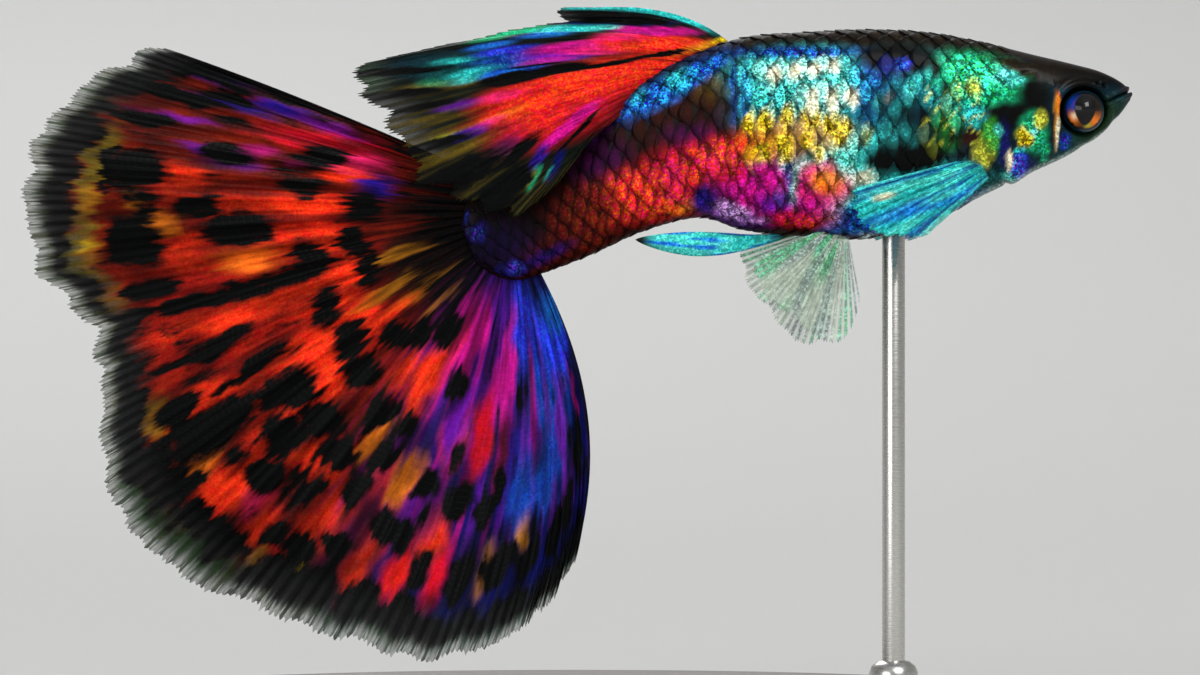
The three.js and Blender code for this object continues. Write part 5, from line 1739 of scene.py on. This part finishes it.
@dataclass
class Stand:
    """The oval base with a moulded rim, the turned socket and the rod that reaches into the belly."""

    segments: int = 160
    rim: tuple[tuple[float, float], ...] = (
        (0.6, 0.0), (0.15, 0.12), (0.0, 0.5), (0.0, 1.5), (0.12, 1.75), (0.3, 1.85), (0.3, 2.05), (0.12, 2.2),
        (0.1, 2.6), (0.2, 3.0), (0.42, 3.3), (0.8, 3.52), (1.3, 3.6),
    )
    socket_steps: tuple[tuple[float, float], ...] = (
        (1, 0), (1, 0.3), (0.93, 0.4), (0.8, 0.46), (0.78, 0.6), (0.7, 0.8), (0.52, 0.95),
    )

    def base(self) -> bpy.types.Object:
        """Builds the base from one oval that is extruded ring by ring up the rim's profile."""
        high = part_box("stand_base")[1]
        half = Vector((high.x, high.y, 0))
        mesh = bmesh.new()
        bmesh.ops.create_circle(mesh, cap_ends=True, segments=self.segments, radius=1.0)
        bottom_inset = self.rim[0][0] * MM
        for vert in mesh.verts:
            vert.co = Vector((vert.co.x * (half.x - bottom_inset), vert.co.y * (half.y - bottom_inset), 0))
        edges = mesh.edges[:]
        for inset, height in self.rim[1:]:
            grown = bmesh.ops.extrude_edge_only(mesh, edges=edges)["geom"]
            verts, edges = grown_parts(grown)
            for vert in verts:
                angle = math.atan2(vert.co.y / (half.y - bottom_inset), vert.co.x / (half.x - bottom_inset))
                x, y = (half.x - inset * MM) * math.cos(angle), (half.y - inset * MM) * math.sin(angle)
                vert.co = Vector((x, y, height * MM))
            bottom_inset = inset * MM
        bmesh.ops.edgeloop_fill(mesh, edges=edges)
        caps = [face for face in mesh.faces if len(face.verts) > 4]
        bmesh.ops.inset_region(mesh, faces=caps, thickness=0.9 * MM)
        bmesh.ops.recalc_face_normals(mesh, faces=mesh.faces[:])
        made = finish_object(mesh, "base_turned", WoodFinish().build())
        made.data.set_sharp_from_angle(angle=math.radians(35))
        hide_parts("stand_base")
        return made

    def turned(
        self, name: str, profile: Iterable[tuple[float, float]], x: float, material: bpy.types.Material
    ) -> bpy.types.Object:
        """Spins a profile of radius and height round an upright axis.

        Args:
            name: The piece's name.
            profile: Radius and height in metres, from the bottom up, starting and ending on the axis.
            x: Where the axis stands.
            material: The piece's material.

        Returns:
            The piece.
        """
        mesh = bmesh.new()
        verts = [mesh.verts.new((radius, 0, height)) for radius, height in profile]
        edges = [mesh.edges.new(pair) for pair in zip(verts, verts[1:])]
        around = {"cent": (0, 0, 0), "axis": (0, 0, 1), "angle": TAU, "steps": 48}
        bmesh.ops.spin(mesh, geom=verts + edges, use_merge=True, **around)
        bmesh.ops.remove_doubles(mesh, verts=mesh.verts[:], dist=2e-6)
        bmesh.ops.translate(mesh, verts=mesh.verts[:], vec=(x, 0, 0))
        bmesh.ops.recalc_face_normals(mesh, faces=mesh.faces[:])
        made = finish_object(mesh, name, material)
        made.data.set_sharp_from_angle(angle=math.radians(40))
        return made

    def build(self) -> None:
        """Builds the base, the rod and its socket."""
        self.base()
        steel = SteelFinish().build()
        low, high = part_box("stand_rod")
        x, radius = (low.x + high.x) / 2, (high.x - low.x) / 2
        top, floor = high.z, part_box("stand_base")[1].z
        shoulder, tip = top + 0.25 * MM, top + 0.6 * MM
        profile = ((0, floor), (radius, floor), (radius, shoulder), (radius * 0.6, tip), (0, tip))
        rod = self.turned("rod_turned", profile, x, steel)
        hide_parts("stand_rod")
        low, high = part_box("stand_socket")
        wide = (high.x - low.x) / 2
        tall = high.z - floor
        steps = [(wide * r, tall * h) for r, h in self.socket_steps]
        profile = [(0, floor), *((r, floor + h) for r, h in steps), (radius, floor + tall), (0, floor + tall)]
        socket = self.turned("socket_turned", profile, x, steel)
        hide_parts("stand_socket")


@dataclass(frozen=True)
class WoodFinish:
    """Dark stained hardwood under satin varnish."""

    light: tuple[float, float, float, float] = (0.085, 0.036, 0.016, 1)
    dark: tuple[float, float, float, float] = (0.018, 0.008, 0.005, 1)

    def build(self) -> bpy.types.Material:
        """Returns the material."""
        shader, wood = new_material("stained_wood")
        place = shader.object_place()
        bands = shader.noise(shader.scaled(place, (0.12, 1.0, 1.0)), 900, 4.0, 0.55)
        pores = shader.noise(shader.scaled(place, (0.05, 1.0, 1.0)), 6500, 3.0, 0.6)
        figure = shader.math("MULTIPLY_ADD", pores, 0.35, shader.math("MULTIPLY", bands, 0.75))
        grain = shader.ramp(figure, 0.35, 0.72)
        shader.put(wood.inputs["Base Color"], shader.blend("MIX", grain, self.dark, self.light))
        shader.put(wood.inputs["Roughness"], shader.math("MULTIPLY_ADD", pores, 0.2, 0.28))
        wood.inputs["Coat Weight"].default_value = 0.4
        wood.inputs["Coat Roughness"].default_value = 0.2
        shader.put(wood.inputs["Normal"], shader.bump(pores, 0.25, 0.0001))
        return material_of(shader)


@dataclass(frozen=True)
class SteelFinish:
    """Turned stainless steel with fine rings."""

    def build(self) -> bpy.types.Material:
        """Returns the material."""
        shader, steel = new_material("turned_steel")
        place = shader.object_place()
        rings = shader.noise(shader.scaled(place, (0.02, 0.02, 1.0)), 14000, 2.0)
        steel.inputs["Base Color"].default_value = (0.62, 0.61, 0.58, 1)
        steel.inputs["Metallic"].default_value = 1.0
        shader.put(steel.inputs["Roughness"], shader.math("MULTIPLY_ADD", rings, 0.2, 0.18))
        shader.put(steel.inputs["Normal"], shader.bump(rings, 0.15, 0.00003))
        return material_of(shader)


# Studio


@dataclass
class Studio:
    """A pale bowl-shaped sweep, soft lights and the camera at the picture's angle."""

    frame_centre: tuple[float, float] = (600, 337.5)
    distance: float = 0.192
    lens: float = 120
    floor_radius: float = 0.3
    bend: float = 0.8
    wall: float = 0.5

    def sweep(self) -> None:
        """Builds the floor, which curves up into a wall all round."""
        mesh = bmesh.new()
        bmesh.ops.create_circle(mesh, cap_ends=True, segments=96, radius=self.floor_radius)
        edges = mesh.edges[:]
        ring_radius = self.floor_radius
        for step in range(1, 13):
            bend = math.pi / 2 * min(step, 10) / 10
            radius = self.floor_radius + self.bend * math.sin(bend)
            height = self.bend * (1 - math.cos(bend)) + (self.wall if step > 10 else 0) * (step - 10) / 2
            grown = bmesh.ops.extrude_edge_only(mesh, edges=edges)["geom"]
            verts, edges = grown_parts(grown)
            for vert in verts:
                flat = Vector((vert.co.x, vert.co.y, 0)) * (radius / ring_radius)
                vert.co = Vector((flat.x, flat.y, height))
            ring_radius = radius
        for face in mesh.faces:
            face.smooth = True
            if face.normal.z < 0:
                face.normal_flip()
        data = bpy.data.meshes.new("sweep")
        mesh.to_mesh(data)
        mesh.free()
        shader, pale = new_material("pale_sweep")
        pale.inputs["Base Color"].default_value = (0.6, 0.6, 0.59, 1)
        pale.inputs["Roughness"].default_value = 0.9
        pale.inputs["Specular IOR Level"].default_value = 0.1
        data.materials.append(material_of(shader))
        made = bpy.data.objects.new("sweep", data)
        bpy.context.scene.collection.objects.link(made)

    def lamp(
        self, name: str, place: tuple[float, float, float], aim: Vector, size: float, watts: float
    ) -> None:
        """Adds a soft lamp.

        Args:
            name: The lamp's name.
            place: Where it hangs, in metres.
            aim: What it points at.
            size: The side of its square face, in metres.
            watts: Its power.
        """
        light = bpy.data.lights.new(name, "AREA")
        light.size = size
        light.energy = watts
        made = bpy.data.objects.new(name, light)
        made.location = place
        made.rotation_euler = (aim - Vector(place)).to_track_quat("-Z", "Y").to_euler()
        made.visible_camera = False
        bpy.context.scene.collection.objects.link(made)

    def camera(self) -> None:
        """Adds the camera, level and square to the fish's right side, with the picture's framing."""
        data = bpy.data.cameras.new("camera")
        data.lens = self.lens
        data.sensor_width = 36
        data.clip_start = 0.005
        data.clip_end = 10
        made = bpy.data.objects.new("camera", data)
        x = ORIGIN.x + (self.frame_centre[0] - PHOTO_SNOUT[0]) * PHOTO_PIXEL * MM
        z = ORIGIN.z + (PHOTO_SNOUT[1] - self.frame_centre[1]) * PHOTO_PIXEL * MM
        made.location = (x, -self.distance, z)
        made.rotation_euler = (math.pi / 2, 0, 0)
        bpy.context.scene.collection.objects.link(made)
        bpy.context.scene.camera = made

    def build(self) -> None:
        """Builds the sweep, the lights, the sky and the camera."""
        self.sweep()
        aim = Vector((0, 0, 0.02))
        self.lamp("key", (0.25, -0.5, 0.6), aim, 0.3, 3.6)
        self.lamp("fill", (-0.45, -0.55, 0.25), aim, 0.4, 1.8)
        self.lamp("back", (-0.1, 0.55, 0.5), aim, 0.4, 2.0)
        sky = bpy.data.worlds.new("studio_sky")
        sky.use_nodes = True
        backdrop = sky.node_tree.nodes["Background"]
        backdrop.inputs[0].default_value = (0.95, 0.97, 1.0, 1)
        backdrop.inputs[1].default_value = 0.42
        bpy.context.scene.world = sky
        bpy.context.scene.view_settings.view_transform = "Standard"
        self.camera()


# Painted highlights on both pectoral fins: streaks of blue and aqua and a cream glint, laid as colour.
PECTORAL_PAINTED_HIGHLIGHTS = patches(
    0.6,
    ("AZURE", -10.4, -5.5, 2.6, 0.35, 0.6, 0.8, 18), ("AQUA", -10.8, -4.45, 2.4, 0.22, 0.6, 0.9, 14),
    ("CREAM", -12.1, -5.05, 0.5, 0.16, 0.6, 0.9, 12), ("AQUA", -9.3, -5.0, 1.0, 0.2, 0.6, 0.8, 22),
)
PELVIC_LENGTHS = (4.3, 4.9, 5.05, 5.1, 5.5, 5.7, 3.3)


def build_fins() -> None:
    """Builds every fin."""
    tail = TailFin("tail_fan", ("tail_fin",), "tail_membrane", rays=24, per_ray=32, rows=56)
    tail.build(FinFinish("tail_membrane", rays=24, fray=0.75).build())
    dorsal = DorsalFin(
        "dorsal_sail", ("dorsal_fin",), "dorsal_membrane", rays=12, per_ray=32, rows=54, fold=0.08
    )
    dorsal.build(FinFinish("dorsal_membrane", rays=12).build())
    clear = {"roughness": 0.3}
    pectoral = FinFinish("pectoral_membrane", rays=11, clear_rays=0.7, fray=0.3, sparkle=0.4, **clear).build()
    pelvic = FinFinish(
        "pelvic_membrane", rays=6, clear_rays=0.5, fray=0.1, streak=0.2, sparkle=0.8, **clear
    ).build()
    thin = {"membrane": 0.05, "ridge": 0.09, "fold": 0.05, "slot": "clear_membrane"}
    for word, side in (("right", -1), ("left", 1)):
        FanFin(
            f"pectoral_{word}", (f"pectoral_fin_{word}",), rays=11, per_ray=16, rows=30, side=side,
            painted_highlights=PECTORAL_PAINTED_HIGHLIGHTS, **thin,
        ).build(pectoral)
        swing, stretch = (0, 1.0) if side < 0 else (-12, 1.05)
        FanFin(
            f"pelvic_{word}", (f"pelvic_fin_{word}",), rays=6, per_ray=20, rows=28, side=side,
            root=(-13.95, 0.62, -6.45), angles=(202 + swing, 281 + swing), tilt=9, spread=0.7, clearness=0.85,
            lengths=tuple(r * stretch for r in PELVIC_LENGTHS),
            tints=(Tint.MIST, Tint.SILVER, Tint.SEA_GREEN), **thin,
        ).build(pelvic)


def main() -> None:
    """Builds the fish, its stand and the studio."""
    logging.basicConfig(level=logging.INFO, format="%(message)s")
    Skin().build()
    Scales().build()
    ball = eye_ball_finish()
    for word, side in (("right", -1), ("left", 1)):
        Eye(side, word).build(ball)
    build_fins()
    Gonopodium().build()
    Stand().build()
    Studio().build()


if __name__ == "__main__":
    main()
